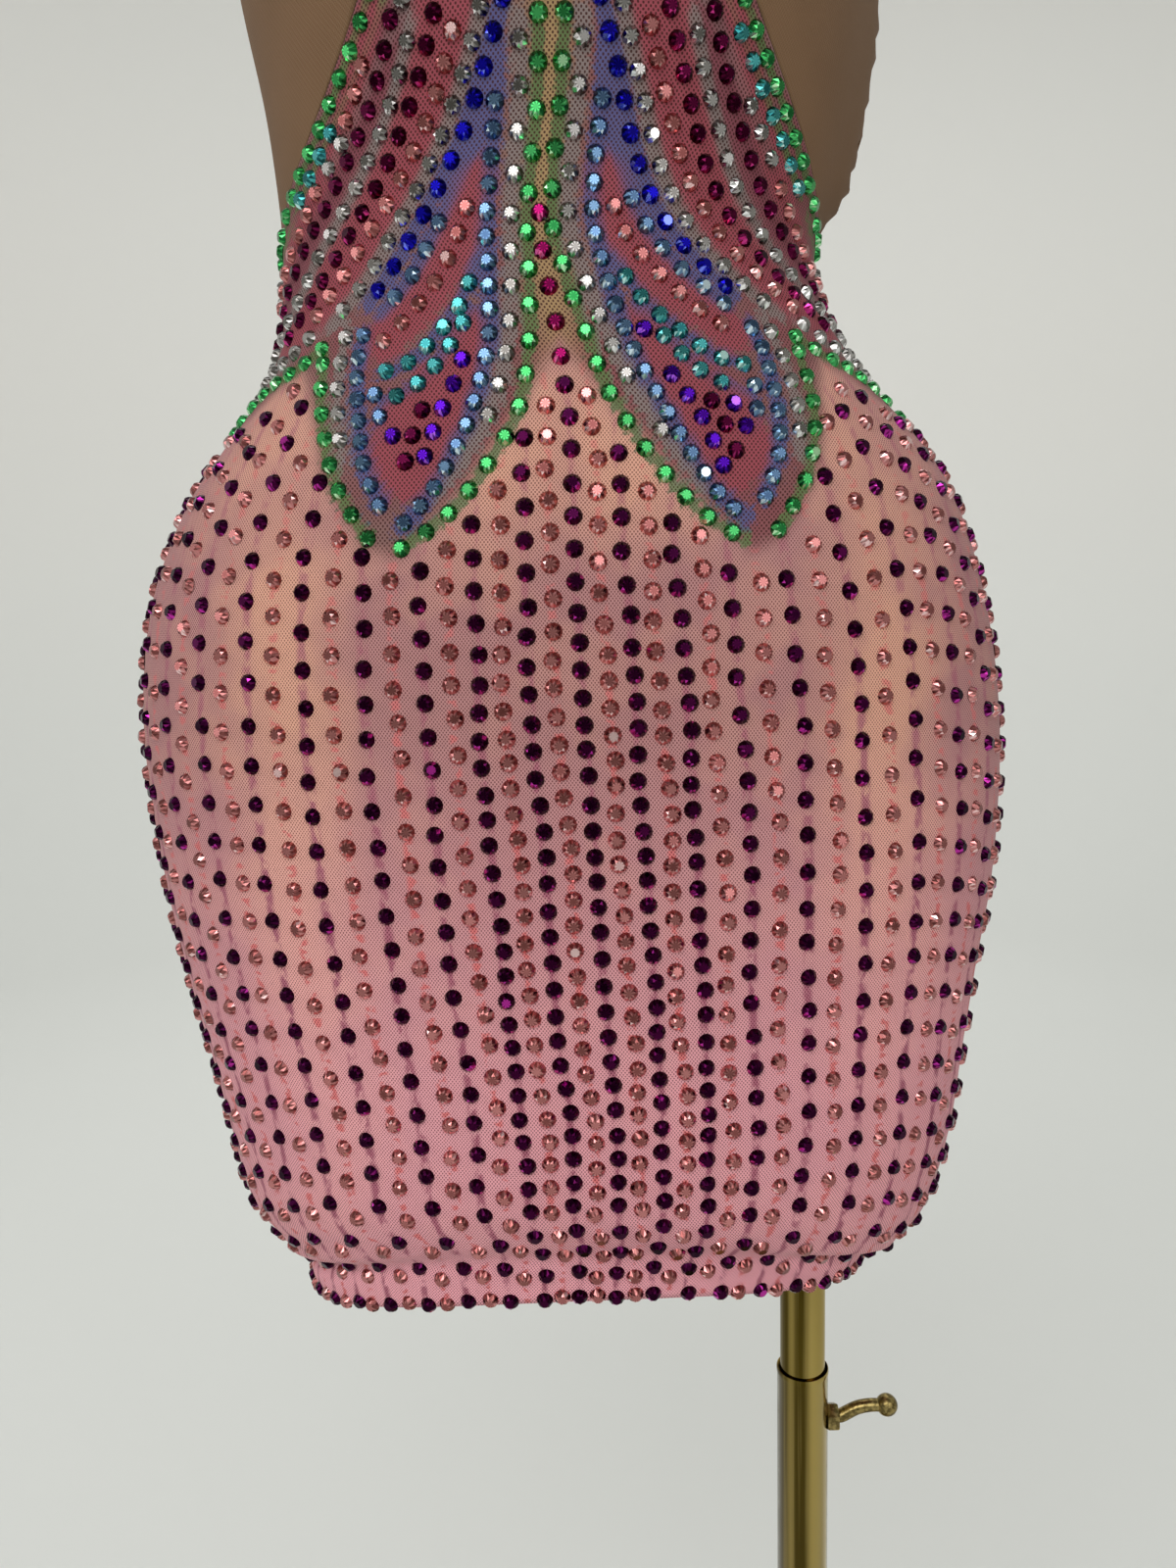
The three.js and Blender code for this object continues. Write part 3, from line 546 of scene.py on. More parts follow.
def lay_columns():
    last = len(COLUMN_REACH) - 1
    for k in range(-last, last + 1):
        angle, row, z = column_line(k, random.uniform(0, 2 * math.pi, 2))
        if len(row) < SHORTEST_COLUMN:
            continue
        run = run_of(outside(angle, row))
        at, places = random.uniform(*FIRST_STONE), []
        while at < run[-1]:
            if len(places) == 1 and k % 2:
                at -= ROSE_LIFT * column_pitch(k, HEM_LEVEL)
            places.append(at)
            under = rise(np.interp(at, run, row), UNDER_PITCH["row"], -UNDER_PITCH["rows"])
            pitch = column_pitch(k, np.interp(at, run, z)) * (1 + UNDER_PITCH["more"] * under)
            at += pitch * random.normal(1, UNEVEN_PITCH)
        where = np.interp(places, run, np.arange(len(run)))
        add_stones("rose" if k % 2 else "purple", pick(angle, where), pick(row, where))


def lay_back_border():
    angle = np.linspace(RIGHT_ANGLE + 0.03, 3 * RIGHT_ANGLE - 0.03, 400)
    where = walk(outside(angle, row_at(angle, back_edge(angle) - BORDER["inside"])), BORDER["pitch"])
    angle = angle[np.round(where).astype(int)]
    add_stones("green", angle, row_at(angle, back_edge(angle) - BORDER["inside"]))


def lay_centre():
    """The dark stones between the two inner green rows, at the heights halfway between theirs."""
    angle, row = stones["green"][0].T
    z = height(section(row), angle)
    z = (z[1:] + z[:-1]) / 2
    z = z[(z > CENTRE_STONES[0]) & (z < CENTRE_STONES[1])]
    angle, row = place_at(centre_line(z), z)
    add_stones("magenta", angle, row)


def lay_sides():
    for *look, points in SIDE_ROWS:
        lay_both(*smooth_line(points).T, *look)


def lay_centre_back():
    """A column down the centre back, where it is more than a stone's width from the others."""
    row = np.linspace(BACK_COLUMN["low"], BACK_COLUMN["high"], 300)
    row = row[height(section(row), math.pi) < back_edge(math.pi) - BACK_COLUMN["under_edge"]]
    where = walk(outside(np.full(len(row), math.pi), row), BACK_COLUMN["pitch"])
    add_stones("rose", np.full(len(where), math.pi), pick(row, where))


lay_rows()
lay_centre()
lay_columns()
lay_back_border()
lay_sides()
lay_centre_back()


COLOURS = ("green", "cobalt", "sapphire", "teal", "violet", "magenta", "plum", "crystal", "purple", "rose")


def thin_out():
    """Leaves out any stone that would lie on an earlier one, with COLOURS as the order."""
    kept, out = np.zeros((0, 3)), {}
    for colour in COLOURS:
        places = np.concatenate(stones[colour])
        points = outside(places[:, 0], places[:, 1])
        good = []
        for n, p in enumerate(points):
            if len(kept) and np.min(np.sum((kept - p) ** 2, 1)) < STONE_GAP**2:
                continue
            kept = np.vstack([kept, p])
            good.append(n)
        out[colour] = places[good]
    return out


stones = thin_out()


# ---- Meshes ----
def link(name, mesh, body):
    thing = bpy.data.objects.new(name, mesh)
    scene.collection.objects.link(thing)
    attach(thing, body)
    return thing


def mesh_of(name, points, faces, smooth=True):
    mesh = bpy.data.meshes.new(name)
    mesh.from_pydata((np.asarray(points) * MM).tolist(), [], [list(map(int, f)) for f in faces])
    mesh.polygons.foreach_set("use_smooth", np.full(len(mesh.polygons), smooth))
    mesh.update()
    return mesh


ON_FORM_ROW, LEAST_GAP = FORM_LOW_ROW - 0.6, 0.2  # from this row up the cloth keeps off the form


def shell(name, angle, row, has_cell=None):
    """A closed thin wall over a grid of places: its outer face, its inner face and its rim."""
    up, across = angle.shape
    n = normal(angle, row)
    base = skin(angle, row)
    gap = stand_off(angle, row) + creases(angle, row)
    outer = base + n * (gap + CLOTH["wall"])[..., None]
    inner = base + n * np.where(row > ON_FORM_ROW, np.maximum(gap, LEAST_GAP), gap)[..., None]
    points = np.concatenate([outer.reshape(-1, 3), inner.reshape(-1, 3)])
    size = up * across
    cells = np.ones((up - 1, across - 1), bool) if has_cell is None else has_cell
    j, i = np.nonzero(cells)
    a, b, c, d = j * across + i, j * across + i + 1, (j + 1) * across + i + 1, (j + 1) * across + i
    faces = [np.stack([a, b, c, d], 1), np.stack([d, c, b, a], 1) + size]
    padded = np.pad(cells, 1)
    rims = []
    for shift, (p, q) in (((-1, 0), (a, b)), ((0, 1), (b, c)), ((1, 0), (c, d)), ((0, -1), (d, a))):
        edge = ~padded[j + 1 + shift[0], i + 1 + shift[1]]
        rims.append(np.stack([q[edge], p[edge], p[edge] + size, q[edge] + size], 1))
    rim = np.concatenate(rims)
    used = np.unique(np.concatenate([f.ravel() for f in faces]))
    place = np.full(len(points), -1)
    place[used] = np.arange(len(used))
    every = place[np.concatenate(faces + [rim])]
    mesh = mesh_of(name, points[used], every)
    mesh.polygons.foreach_set("use_smooth", np.arange(len(every)) < len(every) - len(rim))
    return mesh, np.tile(angle.ravel(), 2)[used], np.tile(row.ravel(), 2)[used]


def uv_from(mesh, u, v, name="cloth"):
    layer = mesh.uv_layers.new(name=name)
    corner = np.zeros(len(mesh.loops), int)
    mesh.loops.foreach_get("vertex_index", corner)
    layer.data.foreach_set("uv", np.stack([u[corner], v[corner]], 1).astype(np.float32).ravel())


def attribute(mesh, name, kind, values):
    layer = mesh.attributes.new(name, kind, "POINT")
    field = "color" if kind == "FLOAT_COLOR" else "value"
    layer.data.foreach_set(field, np.asarray(values, np.float32).ravel())


def distance_to(line, arc, z):
    """The distance from each place to a line, in millimetres of cloth, taken over every sixth point of it."""
    best = np.full(arc.shape, np.inf)
    for p, q in zip(line[:-6:6], line[6::6]):
        d = q - p
        t = np.clip(((arc - p[0]) * d[0] + (z - p[1]) * d[1]) / max(1e-9, d @ d), 0, 1)
        best = np.minimum(best, np.hypot(arc - p[0] - t * d[0], z - p[1] - t * d[1]))
    return best


def unwrapped(angle, row):
    """Length along the section as arc_of gives it, but running on past the centre back."""
    girth = np.interp(row, ARC_ROWS, ARCS[:, -1] - ARCS[:, 0])
    return arc_of(angle, row) + np.where(angle > math.pi, girth, 0)


FADE = 7.0  # how wide the bodice's print runs into the skirt's
PRINT_TURN, PRINT_REACH = 1.75, 20  # how far round the form and from its heights a row's print can show
FIELD_OVER_TOP = 4  # how far over the tops of the columns the skirt's print ends
PEACH = [(118, 30, -60, 190), (20, 26, 60, 40)]  # peach patches: place and width across, height and size up


def field_edge(half):
    """The height at which the skirt's print ends, at a length from the middle column."""
    return np.interp(half, COLUMN_TOP[:, 0], COLUMN_TOP[:, 1] + FIELD_OVER_TOP)


def paint(mesh, angle, row):
    """The print: the rows' own colours, the ground's shades, and the place across the columns."""
    arc = arc_of(angle, row)
    z = height(section(row), angle)
    turn = wrap(angle)
    colour = np.zeros((len(arc), 3))
    total, clear = np.zeros(len(arc)), np.ones(len(arc))
    front = np.abs(turn) < PRINT_TURN
    for line, tint, half_width, strength in print_lines:
        near = front & (np.abs(z - np.clip(z, line[:, 1].min(), line[:, 1].max())) < PRINT_REACH)
        w = np.zeros(len(arc))
        off = distance_to(line, arc[near], z[near]) / (half_width * PRINT_WIDTHS[tint])
        w[near] = strength * np.exp(-(off**3))
        colour += w[:, None] ** 3 * np.array(PRINTS[tint])
        total += w**3
        clear *= 1 - np.minimum(w, 0.98)
    half = np.abs(arc - drift(turn, row))
    slope = field_edge(half) - field_edge(half - 1)
    top = np.where(np.abs(turn) > RIGHT_ANGLE, 400, field_edge(half))
    hem = 0.25 * np.clip((2.1 - row) / 0.3, 0, 1)
    off_middle_back = np.abs(np.abs(turn) - math.pi) > 0.06
    peach = sum(gauss((half - x) / wide) * gauss((z - up) / tall) for x, wide, up, tall in PEACH)
    shades = {
        "column": column_of(angle, row),
        "field": np.clip((top - z) / (FADE * np.hypot(1, slope)) + 0.5, 0, 1),
        "peach": np.clip(peach, 0, 1),
        "low": np.clip((-40 - z) / 190, 0, 0.75) + hem,
        "smudge": np.interp(z, [-120, 40], [1.0, 0.55]) * off_middle_back,
        "strip": gauss(half / 9) * np.clip((z - 60) / 50, 0, 1),
    }
    for name, values in shades.items():
        attribute(mesh, name, "FLOAT", values)
    colour /= np.maximum(total, 1e-12)[:, None]
    attribute(mesh, "print", "FLOAT_COLOR", np.column_stack([colour, 1 - clear]))


SEAM_TURN = CLOTH["seam"] / 240  # half a seam's gap as an angle, where the form is 120 mm to each side
FINER = 4  # the tables of side_mesh and back_bodice are made this many times finer each way
STRAP_ROWS = 5


def refine(table):
    for _ in range(2):
        last = len(table) - 1
        table = np.swapaxes(along(table, np.linspace(0, last, last * FINER + 1)), 0, 1)
    return table


def front_panel():
    """The printed panel's grid of places: even rows up to its slanted edge, then even heights."""
    columns, slant, top = 150, 140.0, NECKLINE["panel"]
    across = np.linspace(-1, 1, columns + 1)[None]
    z_low = np.concatenate([np.arange(SECTIONS[0, FRONT_Z], slant, 2.9), [slant]])
    row = row_at(np.zeros(len(z_low)), z_low)
    edge_low = seam_angle(section(row)[:, SIDE_Z])
    z_high = np.concatenate([np.arange(slant + 3, top, 3.0), [top]])
    edge = np.vstack([[edge_low[-1], slant], EDGE_LINE])
    edge_high = np.interp(z_high, edge[:, 1], edge[:, 0]) - SEAM_TURN
    angle = np.concatenate([edge_low, edge_high])[:, None] * across
    rows_low = row[:, None] + 0 * across
    near_top = np.clip((z_high[:, None] - top) / 12 + 1, 0, 1)
    dip = (top - NECKLINE["centre"]) * (1 - across**2) * near_top
    rows_high = row_at(angle[len(row):], z_high[:, None] - dip)
    return angle, np.concatenate([rows_low, rows_high])


def inner_angle(z):
    """The inner edge of a side: along the printed panel, then the neckline up to the strap."""
    strap = rise(z, NECKLINE["panel"], NECKLINE["strap"] - NECKLINE["panel"])
    above = angle_of_width(mix(PANEL_EDGE[-1, 1], NECKLINE["strap_x"], strap), z)
    return np.where(z <= NECKLINE["panel"], edge_angle(z), above) + SEAM_TURN


def armhole(share):
    """The height and angle of the armhole's edge, from its bottom to the strap."""
    z = mix(ARMHOLE["bottom"], ARMHOLE["strap"], 1 - np.cos(share * RIGHT_ANGLE))
    strap = angle_of_width(ARMHOLE["strap_x"], ARMHOLE["strap"])
    return z, mix(seam_angle(z), strap, np.sin(share * RIGHT_ANGLE))


def ridge_height(x):
    """The height of the shoulder's ridge where the form is as wide as x."""
    low, high = 460.0, 570.0
    for _ in range(30):
        middle = (low + high) / 2
        wide = section(row_at(RIGHT_ANGLE, middle))[HALF] > x
        low, high = (middle, high) if wide else (low, middle)
    return low


def strap_place(x, share):
    """The angle and row of a place on a strap, from where it starts to the shoulder seam."""
    z = mix(NECKLINE["strap"], ridge_height(x), math.sin(share * RIGHT_ANGLE))
    angle = seam_angle(z) if share == 1 else np.minimum(seam_angle(z), angle_of_width(x, z))
    return angle, row_at(angle, z)


def side_mesh(side):
    columns = 8
    table = []
    levels = [z for z in PANEL_EDGE[:, 0] if z <= ARMHOLE["bottom"]]
    neck = [386, NECKLINE["panel"], 407, 416, 425, 434, NECKLINE["strap"]]
    shares = np.linspace(0, 1, columns + 1)
    for z in levels:
        angle = mix(inner_angle(z), seam_angle(z), shares)
        table.append(np.stack([angle, row_at(angle, z + 0 * shares)], 1))
    for step, z in enumerate(neck):
        arm_z, arm_angle = armhole((step + 1) / len(neck))
        angle = mix(inner_angle(z), arm_angle, shares)
        table.append(np.stack([angle, row_at(angle, mix(z, arm_z, shares))], 1))
    for step in range(STRAP_ROWS):
        widths = mix(NECKLINE["strap_x"], ARMHOLE["strap_x"], shares)
        table.append([strap_place(x, (step + 1) / STRAP_ROWS) for x in widths])
    table = np.array(table)
    if side < 0:
        table = table[:, ::-1] * [-1, 1]
    return np.moveaxis(refine(table), -1, 0)


def off_seam(angle, z):
    """The angle on the back, kept clear of the side seams."""
    edge = math.pi - seam_angle(z)
    return np.clip(angle, edge, 2 * math.pi - edge)


def back_skirt():
    columns, rows, top_rows, slant = 96, 84, 18, 54.0
    even = np.linspace(RIGHT_ANGLE, 3 * RIGHT_ANGLE, columns + 1)[None]
    row = np.linspace(0, float(row_at(0, slant)), rows)
    side_z = section(row)[:, SIDE_Z][:, None]
    low = off_seam(even + 0 * side_z, side_z + 0 * even)
    share = np.linspace(0, 1, top_rows + 1)[1:, None]
    z = mix(slant, back_edge(even), share)
    high = off_seam(even + 0 * share, z)
    return np.concatenate([low, high]), np.concatenate([row[:, None] + 0 * even, row_at(high, z)])


STRAP_COLUMNS, MIDDLE_COLUMNS, LOW_ROWS, ARM_ROWS = 5, 8, 3, 7
BACK_LEVELS = [184, 214, 252, 300, 340, ARMHOLE["bottom"]]
BACK_COLUMNS = MIDDLE_COLUMNS + 2 * STRAP_COLUMNS
BODY_ROWS = LOW_ROWS + len(BACK_LEVELS) + ARM_ROWS


def upper_back_place(k, share):
    """The angle from the side and the height of column k, from the armhole's bottom to the strap."""
    neck = angle_of_width(NECKLINE["strap_x"], ARMHOLE["strap"])
    arm_z, arm_angle = armhole(share)
    even = RIGHT_ANGLE * (1 - STRAP_COLUMNS / (BACK_COLUMNS / 2))
    strap_edge = mix(even, neck, math.sin(share * RIGHT_ANGLE))
    inside, beyond = min(1, k / STRAP_COLUMNS), max(0, (k - STRAP_COLUMNS) / (MIDDLE_COLUMNS / 2))
    turn = mix(arm_angle, strap_edge, inside) if k <= STRAP_COLUMNS else mix(strap_edge, 0, beyond)
    dip = (NECKLINE["strap"] - NECKLINE["back"]) * share * ease(beyond)
    return turn, mix(arm_z, mix(ARMHOLE["bottom"], NECKLINE["strap"], share) - dip, inside)


def back_bodice_place(j, i):
    """The angle and row of the place in row j and column i of the table, from side to side."""
    even = mix(RIGHT_ANGLE, 3 * RIGHT_ANGLE, i / BACK_COLUMNS)
    side = 1 if i < BACK_COLUMNS / 2 else -1
    k = i if side > 0 else BACK_COLUMNS - i
    if j >= BODY_ROWS:
        x = mix(ARMHOLE["strap_x"], NECKLINE["strap_x"], min(1, k / STRAP_COLUMNS))
        angle, row = strap_place(x, (j - BODY_ROWS + 1) / STRAP_ROWS)
        return math.pi - side * angle, row
    if j < LOW_ROWS:
        z = mix(back_edge(even) + 2 * CLOTH["seam"], BACK_LEVELS[0], j / LOW_ROWS)
    elif j < LOW_ROWS + len(BACK_LEVELS):
        z = BACK_LEVELS[j - LOW_ROWS]
    else:
        turn, z = upper_back_place(k, (j - BODY_ROWS + ARM_ROWS + 1) / ARM_ROWS)
        even = math.pi - side * turn
    angle = off_seam(even, z)
    return angle, row_at(angle, z)


def back_bodice():
    """The back's grid, and which of its cells are cloth: over the neckline only those of the straps."""
    rows = range(BODY_ROWS + STRAP_ROWS)
    fine = refine(np.array([[back_bodice_place(j, i) for i in range(BACK_COLUMNS + 1)] for j in rows]))
    j, i = np.mgrid[:fine.shape[0] - 1, :fine.shape[1] - 1] // FINER
    strap = (i < STRAP_COLUMNS) | (i >= BACK_COLUMNS - STRAP_COLUMNS)
    return fine[..., 0], fine[..., 1], (j < BODY_ROWS - 1) | strap


# ---- Stones ----
STONE = dict(radius=3.52, mid=0.80, mid_high=1.55, table=0.52, table_high=2.45, sunk=0.1)


def stone_template():
    """A round stone's points and facets: the girdle of 16 points, 8 between, and the table's 8."""
    rings = [(16, 0, 1, -STONE["sunk"]), (8, 0, STONE["mid"], STONE["mid_high"]),
             (8, 0.5, STONE["table"], STONE["table_high"])]
    points = []
    for count, start, share, high in rings:
        turn = (np.arange(count) + start) * 2 * math.pi / count
        reach = share * STONE["radius"]
        points.append(np.stack([reach * np.cos(turn), reach * np.sin(turn), np.full(count, high)], 1))
    faces = [tuple(range(24, 32)), tuple(range(15, -1, -1))]
    for i in range(8):
        after, before = (i + 1) % 8, (i - 1) % 8
        faces.append((24 + before, 16 + i, 24 + i))
        faces.append((24 + i, 16 + i, 2 * i + 1, 16 + after))
        faces.append((16 + i, 2 * i, 2 * i + 1))
        faces.append((16 + i, (2 * i - 1) % 16, 2 * i))
    return np.concatenate(points), faces


TEMPLATE, FACETS = stone_template()
FACET_TURN = np.array([math.atan2(*TEMPLATE[list(f), 1::-1].mean(0)) for f in FACETS])
TILT, UNEVEN_SIZE = 0.07, 0.012
# The facets' painted reflection tones, which stand in for light reflected by the foil: their spread, the
# table's, the stone's own share, and what the light side adds.
FACET = dict(spread=0.62, shape=(1.2, 2.2), table=(0.14, 0.40), stone=(0.8, 1.15), lit=0.42, least=0.02)
# Painted glints: the side of each stone, much the same for all stones, on which a painted highlight stands in
# for the foil lighting up, and how many facets get a painted glint there and elsewhere.
GLINT = dict(turn=math.radians(245), uneven=0.45, lit=0.80, share=0.34, stray=0.012, reflection_tone=(0.8, 1.0))


def stone_mesh(name, places):
    """All stones of one colour on one panel, each facet with its own painted reflection: 0 dark, 1 a painted
    glint.
    """
    angle, row = places[:, 0], places[:, 1]
    centre = outside(angle, row)
    n = unit(normal(angle, row) + random.normal(0, TILT, centre.shape))
    level = unit(np.cross([0, 0, 1.0], n))
    upright = np.cross(n, level)
    yaw = random.uniform(0, 2 * math.pi, len(centre))
    u = level * np.cos(yaw)[:, None] + upright * np.sin(yaw)[:, None]
    v = np.cross(n, u)
    local = TEMPLATE[None] * random.normal(1, UNEVEN_SIZE, len(centre))[:, None, None]
    points = centre[:, None] + local @ np.stack([u, v, n], 1)
    faces = [tuple(np.array(f) + s * len(TEMPLATE)) for s in range(len(centre)) for f in FACETS]
    mesh = mesh_of(name, points.reshape(-1, 3), faces, smooth=False)
    # Painted reflections: each facet's brightness is set here to stand in for light the foil reflects.
    reflection_tone = FACET["spread"] * random.beta(*FACET["shape"], (len(centre), len(FACETS)))
    reflection_tone[:, 0] = random.uniform(*FACET["table"], len(centre))
    reflection_tone *= random.uniform(*FACET["stone"], (len(centre), 1))
    # Painted highlight: facets on much the same side of every stone are brightened, as if lit from there.
    glint = GLINT["turn"] + random.normal(0, GLINT["uneven"], (len(centre), 1))
    lit = np.cos(FACET_TURN[None] + yaw[:, None] - glint) * (np.arange(len(FACETS)) > 1)
    reflection_tone = np.clip(reflection_tone + FACET["lit"] * np.maximum(0, lit) ** 2 - FACET["least"], FACET["least"], 1)
    bright = (lit > GLINT["lit"]) & (random.random(reflection_tone.shape) < GLINT["share"])
    bright |= random.random(reflection_tone.shape) < GLINT["stray"]
    reflection_tone[bright] = random.uniform(*GLINT["reflection_tone"], bright.sum())
    layer = mesh.attributes.new("reflection_tone", "FLOAT", "FACE")
    layer.data.foreach_set("value", reflection_tone.astype(np.float32).ravel())
    flat = np.tile(TEMPLATE[:, :2] / STONE["radius"], (len(centre), 1))
    uv_from(mesh, flat[:, 0], flat[:, 1], "stone")
    return mesh


# ---- Materials ----
class Paint:
    """A material, with short ways to add nodes to it."""

    def __init__(self, name, **shader):
        self.material = bpy.data.materials.new(name)
        self.material.use_nodes = True
        self.tree = self.material.node_tree
        self.shader = self.tree.nodes["Principled BSDF"]
        self.set(self.shader, shader)

    def set(self, node, inputs):
        for key, value in inputs.items():
            socket = node.inputs[key.replace("_", " ")] if isinstance(key, str) else node.inputs[key]
            if isinstance(value, bpy.types.NodeSocket):
                self.tree.links.new(value, socket)
            elif hasattr(value, "__len__") and len(value) == 3 and len(socket.default_value) == 4:
                socket.default_value = (*value, 1)
            else:
                socket.default_value = value

    def node(self, kind, props=None, inputs=None, out=0):
        node = self.tree.nodes.new("ShaderNode" + kind)
        for key, value in (props or {}).items():
            setattr(node, key, value)
        self.set(node, inputs or {})
        return node.outputs[out]

    def math(self, operation, a, b=0.0, c=0.0, clamp=False):
        return self.node("Math", dict(operation=operation, use_clamp=clamp), {0: a, 1: b, 2: c})

    def times(self, a, b):
        return self.math("MULTIPLY", a, b)

    def ramp(self, value, start, end, low=0.0, high=1.0):
        """A smooth step: low up to start, high from end on."""
        inputs = {0: value, 1: start, 2: end, 3: low, 4: high}
        return self.node("MapRange", dict(interpolation_type="SMOOTHSTEP"), inputs)

    def blend(self, share, a, b):
        return self.node("Mix", dict(data_type="RGBA"), {0: share, 6: a, 7: b}, out=2)

    def attribute(self, name, out="Fac"):
        return self.node("Attribute", dict(attribute_name=name), out=out)

    def noise(self, where, scale, detail=2.0, roughness=0.5):
        inputs = {"Vector": where, "Scale": scale, "Detail": detail, "Roughness": roughness}
        return self.node("TexNoise", None, inputs)

    def stretched(self, where, scale):
        return self.node("Mapping", None, {"Vector": where, "Scale": scale})

    def colour(self, colour):
        self.set(self.shader, {"Base Color": colour})

    def bump(self, height, strength, distance):
        out = self.node("Bump", None, {"Height": height, "Strength": strength, "Distance": distance})
        self.set(self.shader, {"Normal": out})

    def uv(self, name):
        return self.node("UVMap", dict(uv_map=name))


def net(paint, uv, across, up):
    """The holes of a net in staggered rows: 1 in a hole, 0 on the threads. The pitches are in centimetres."""
    uneven = paint.node("TexNoise", None, {"Vector": uv, "Scale": 1.6, "Detail": 1.0}, out="Color")
    place = paint.node("VectorMath", dict(operation="MULTIPLY_ADD"), {0: uneven, 1: (0.09, 0.09, 0.0), 2: uv})
    split = paint.node("SeparateXYZ", None, {0: place}).node
    waves = [paint.math("COSINE", paint.times(split.outputs[n], 2 * math.pi / pitch))
             for n, pitch in enumerate((across, up))]
    return paint.ramp(paint.times(*waves), 0.05, 0.5)


PRINTED = dict(
    pink=(0.405, 0.150, 0.156), peach=(0.70, 0.325, 0.215), low=(0.98, 0.385, 0.475),
    wine=(0.185, 0.024, 0.038), brown=(0.165, 0.068, 0.064), strip=(0.33, 0.205, 0.072),
    purple_smudge=(0.34, 0.028, 0.105), rose_smudge=(0.70, 0.075, 0.085),
    # hole: the form seen through the net's holes, darkened by painted shade
    hole=(0.060, 0.020, 0.018), thread=(0.80, 0.60, 0.56),
)
SKIRT_NET, BODICE_NET, NUDE_NET = (0.135, 0.165), (0.18, 0.205), (0.11, 0.13)


def printed_mesh_paint():
    p = Paint("printed_mesh", Roughness=0.8)
    p.set(p.shader, {"Sheen Weight": 0.08, "Sheen Roughness": 0.4, "Specular IOR Level": 0.15})
    uv = p.uv("cloth")
    field = p.attribute("field")
    # the skirt's ground, pink to peach and lighter below, and the bodice's
    cloudy = p.noise(uv, 0.22, 3.0)
    share = p.math("ADD", p.attribute("peach"), p.ramp(cloudy, 0.42, 0.6, -0.18, 0.22), clamp=True)
    skirt = p.blend(share, PRINTED["pink"], PRINTED["peach"])
    skirt = p.blend(p.times(p.attribute("low"), 0.9), skirt, PRINTED["low"])
    bodice = p.blend(p.ramp(cloudy, 0.4, 0.62), PRINTED["wine"], PRINTED["brown"])
    bodice = p.blend(p.attribute("strip"), bodice, PRINTED["strip"])
    ground = p.blend(field, bodice, skirt)
    # the smudges along the columns
    patchy = p.noise(p.stretched(uv, (2.2, 1.3, 1.0)), 1.0, 2.0, 0.6)
    dashes = p.noise(p.stretched(uv, (1.6, 2.4, 1.0)), 1.3, 1.0)
    across = p.math("PINGPONG", p.attribute("column"), 1.0)
    smudge = p.times(field, p.attribute("smudge"))
    dark = p.times(p.ramp(across, 0.05, 0.26, 1.0, 0.0), p.ramp(patchy, 0.40, 0.58, 0.05, 1.0))
    rose = p.times(p.ramp(across, 0.74, 0.94), p.ramp(dashes, 0.48, 0.60, 0.0, 0.9))
    ground = p.blend(p.times(dark, smudge), ground, PRINTED["purple_smudge"])
    ground = p.blend(p.times(rose, smudge), ground, PRINTED["rose_smudge"])
    # the rows' own colours, uneven at their edges
    uneven = p.ramp(p.noise(uv, 3.4, 2.0, 0.7), 0.3, 0.7, -0.28, 0.28)
    share = p.math("ADD", p.attribute("print", "Alpha"), uneven)
    ground = p.blend(p.ramp(share, 0.20, 0.62), ground, p.attribute("print", "Color"))
    # the mesh
    in_bodice = p.times(net(p, uv, *BODICE_NET), p.math("SUBTRACT", 1.0, field))
    holes = p.math("ADD", p.times(net(p, uv, *SKIRT_NET), field), in_bodice)
    threads = p.math("SUBTRACT", 1.0, holes)
    # Painted shade in the net's holes: the form behind them, painted much darker than its own colour.
    ground = p.blend(p.times(holes, p.ramp(field, 0.0, 1.0, 0.92, 0.72)), ground, PRINTED["hole"])
    ground = p.blend(p.times(threads, p.ramp(field, 0.0, 1.0, 0.10, 0.20)), ground, PRINTED["thread"])
    p.colour(ground)
    p.bump(threads, 0.35, 0.0004)
    return p.material


def spun_brass_paint():
    """The foot's brass, with faint rings from the lathe."""
    p = Paint("brass_spun", Metallic=1.0, Roughness=0.24)
    where = p.node("TexCoord", out="Object")
    flat = p.node("VectorMath", dict(operation="MULTIPLY"), {0: where, 1: (1.0, 1.0, 0.0)})
    radius = p.node("VectorMath", dict(operation="LENGTH"), {0: flat}, out="Value")
    inputs = {"W": p.times(radius, 1400), "Scale": 1.0, "Detail": 3.0}
    rings = p.node("TexNoise", dict(noise_dimensions="1D"), inputs)
    cloudy = p.noise(where, 22.0, 3.0, 0.6)
    ground = p.blend(p.ramp(rings, 0.3, 0.7), (0.30, 0.225, 0.070), (0.40, 0.300, 0.100))
    ground = p.blend(p.times(p.ramp(cloudy, 0.4, 0.7), 0.35), ground, (0.24, 0.175, 0.052))
    p.colour(ground)
    p.set(p.shader, {"Roughness": p.ramp(cloudy, 0.3, 0.7, 0.16, 0.30)})
    p.bump(rings, 0.12, 0.0002)
    return p.material


def nude_mesh_paint():
    p = Paint("nude_mesh", Roughness=0.85)
    p.set(p.shader, {"Sheen Weight": 0.05, "Sheen Roughness": 0.5, "Specular IOR Level": 0.12})
    uv = p.uv("cloth")
    cloudy = p.noise(uv, 0.16, 2.0)
    ground = p.blend(p.ramp(cloudy, 0.35, 0.68), (0.165, 0.091, 0.046), (0.192, 0.108, 0.056))
    threads = p.node("TexWave", dict(wave_type="BANDS", bands_direction="DIAGONAL"),
                     {"Vector": uv, "Scale": 3.0, "Distortion": 0.6}, out="Fac")
    ground = p.blend(p.times(threads, 0.3), ground, (0.24, 0.15, 0.09))
    holes = net(p, uv, *NUDE_NET)
    # Painted shade in the net's holes: the form seen through them, painted darker than its own colour.
    ground = p.blend(p.times(holes, 0.35), ground, (0.05, 0.027, 0.014))
    p.colour(ground)
    p.bump(p.math("SUBTRACT", 1.0, holes), 0.3, 0.0004)
    return p.material


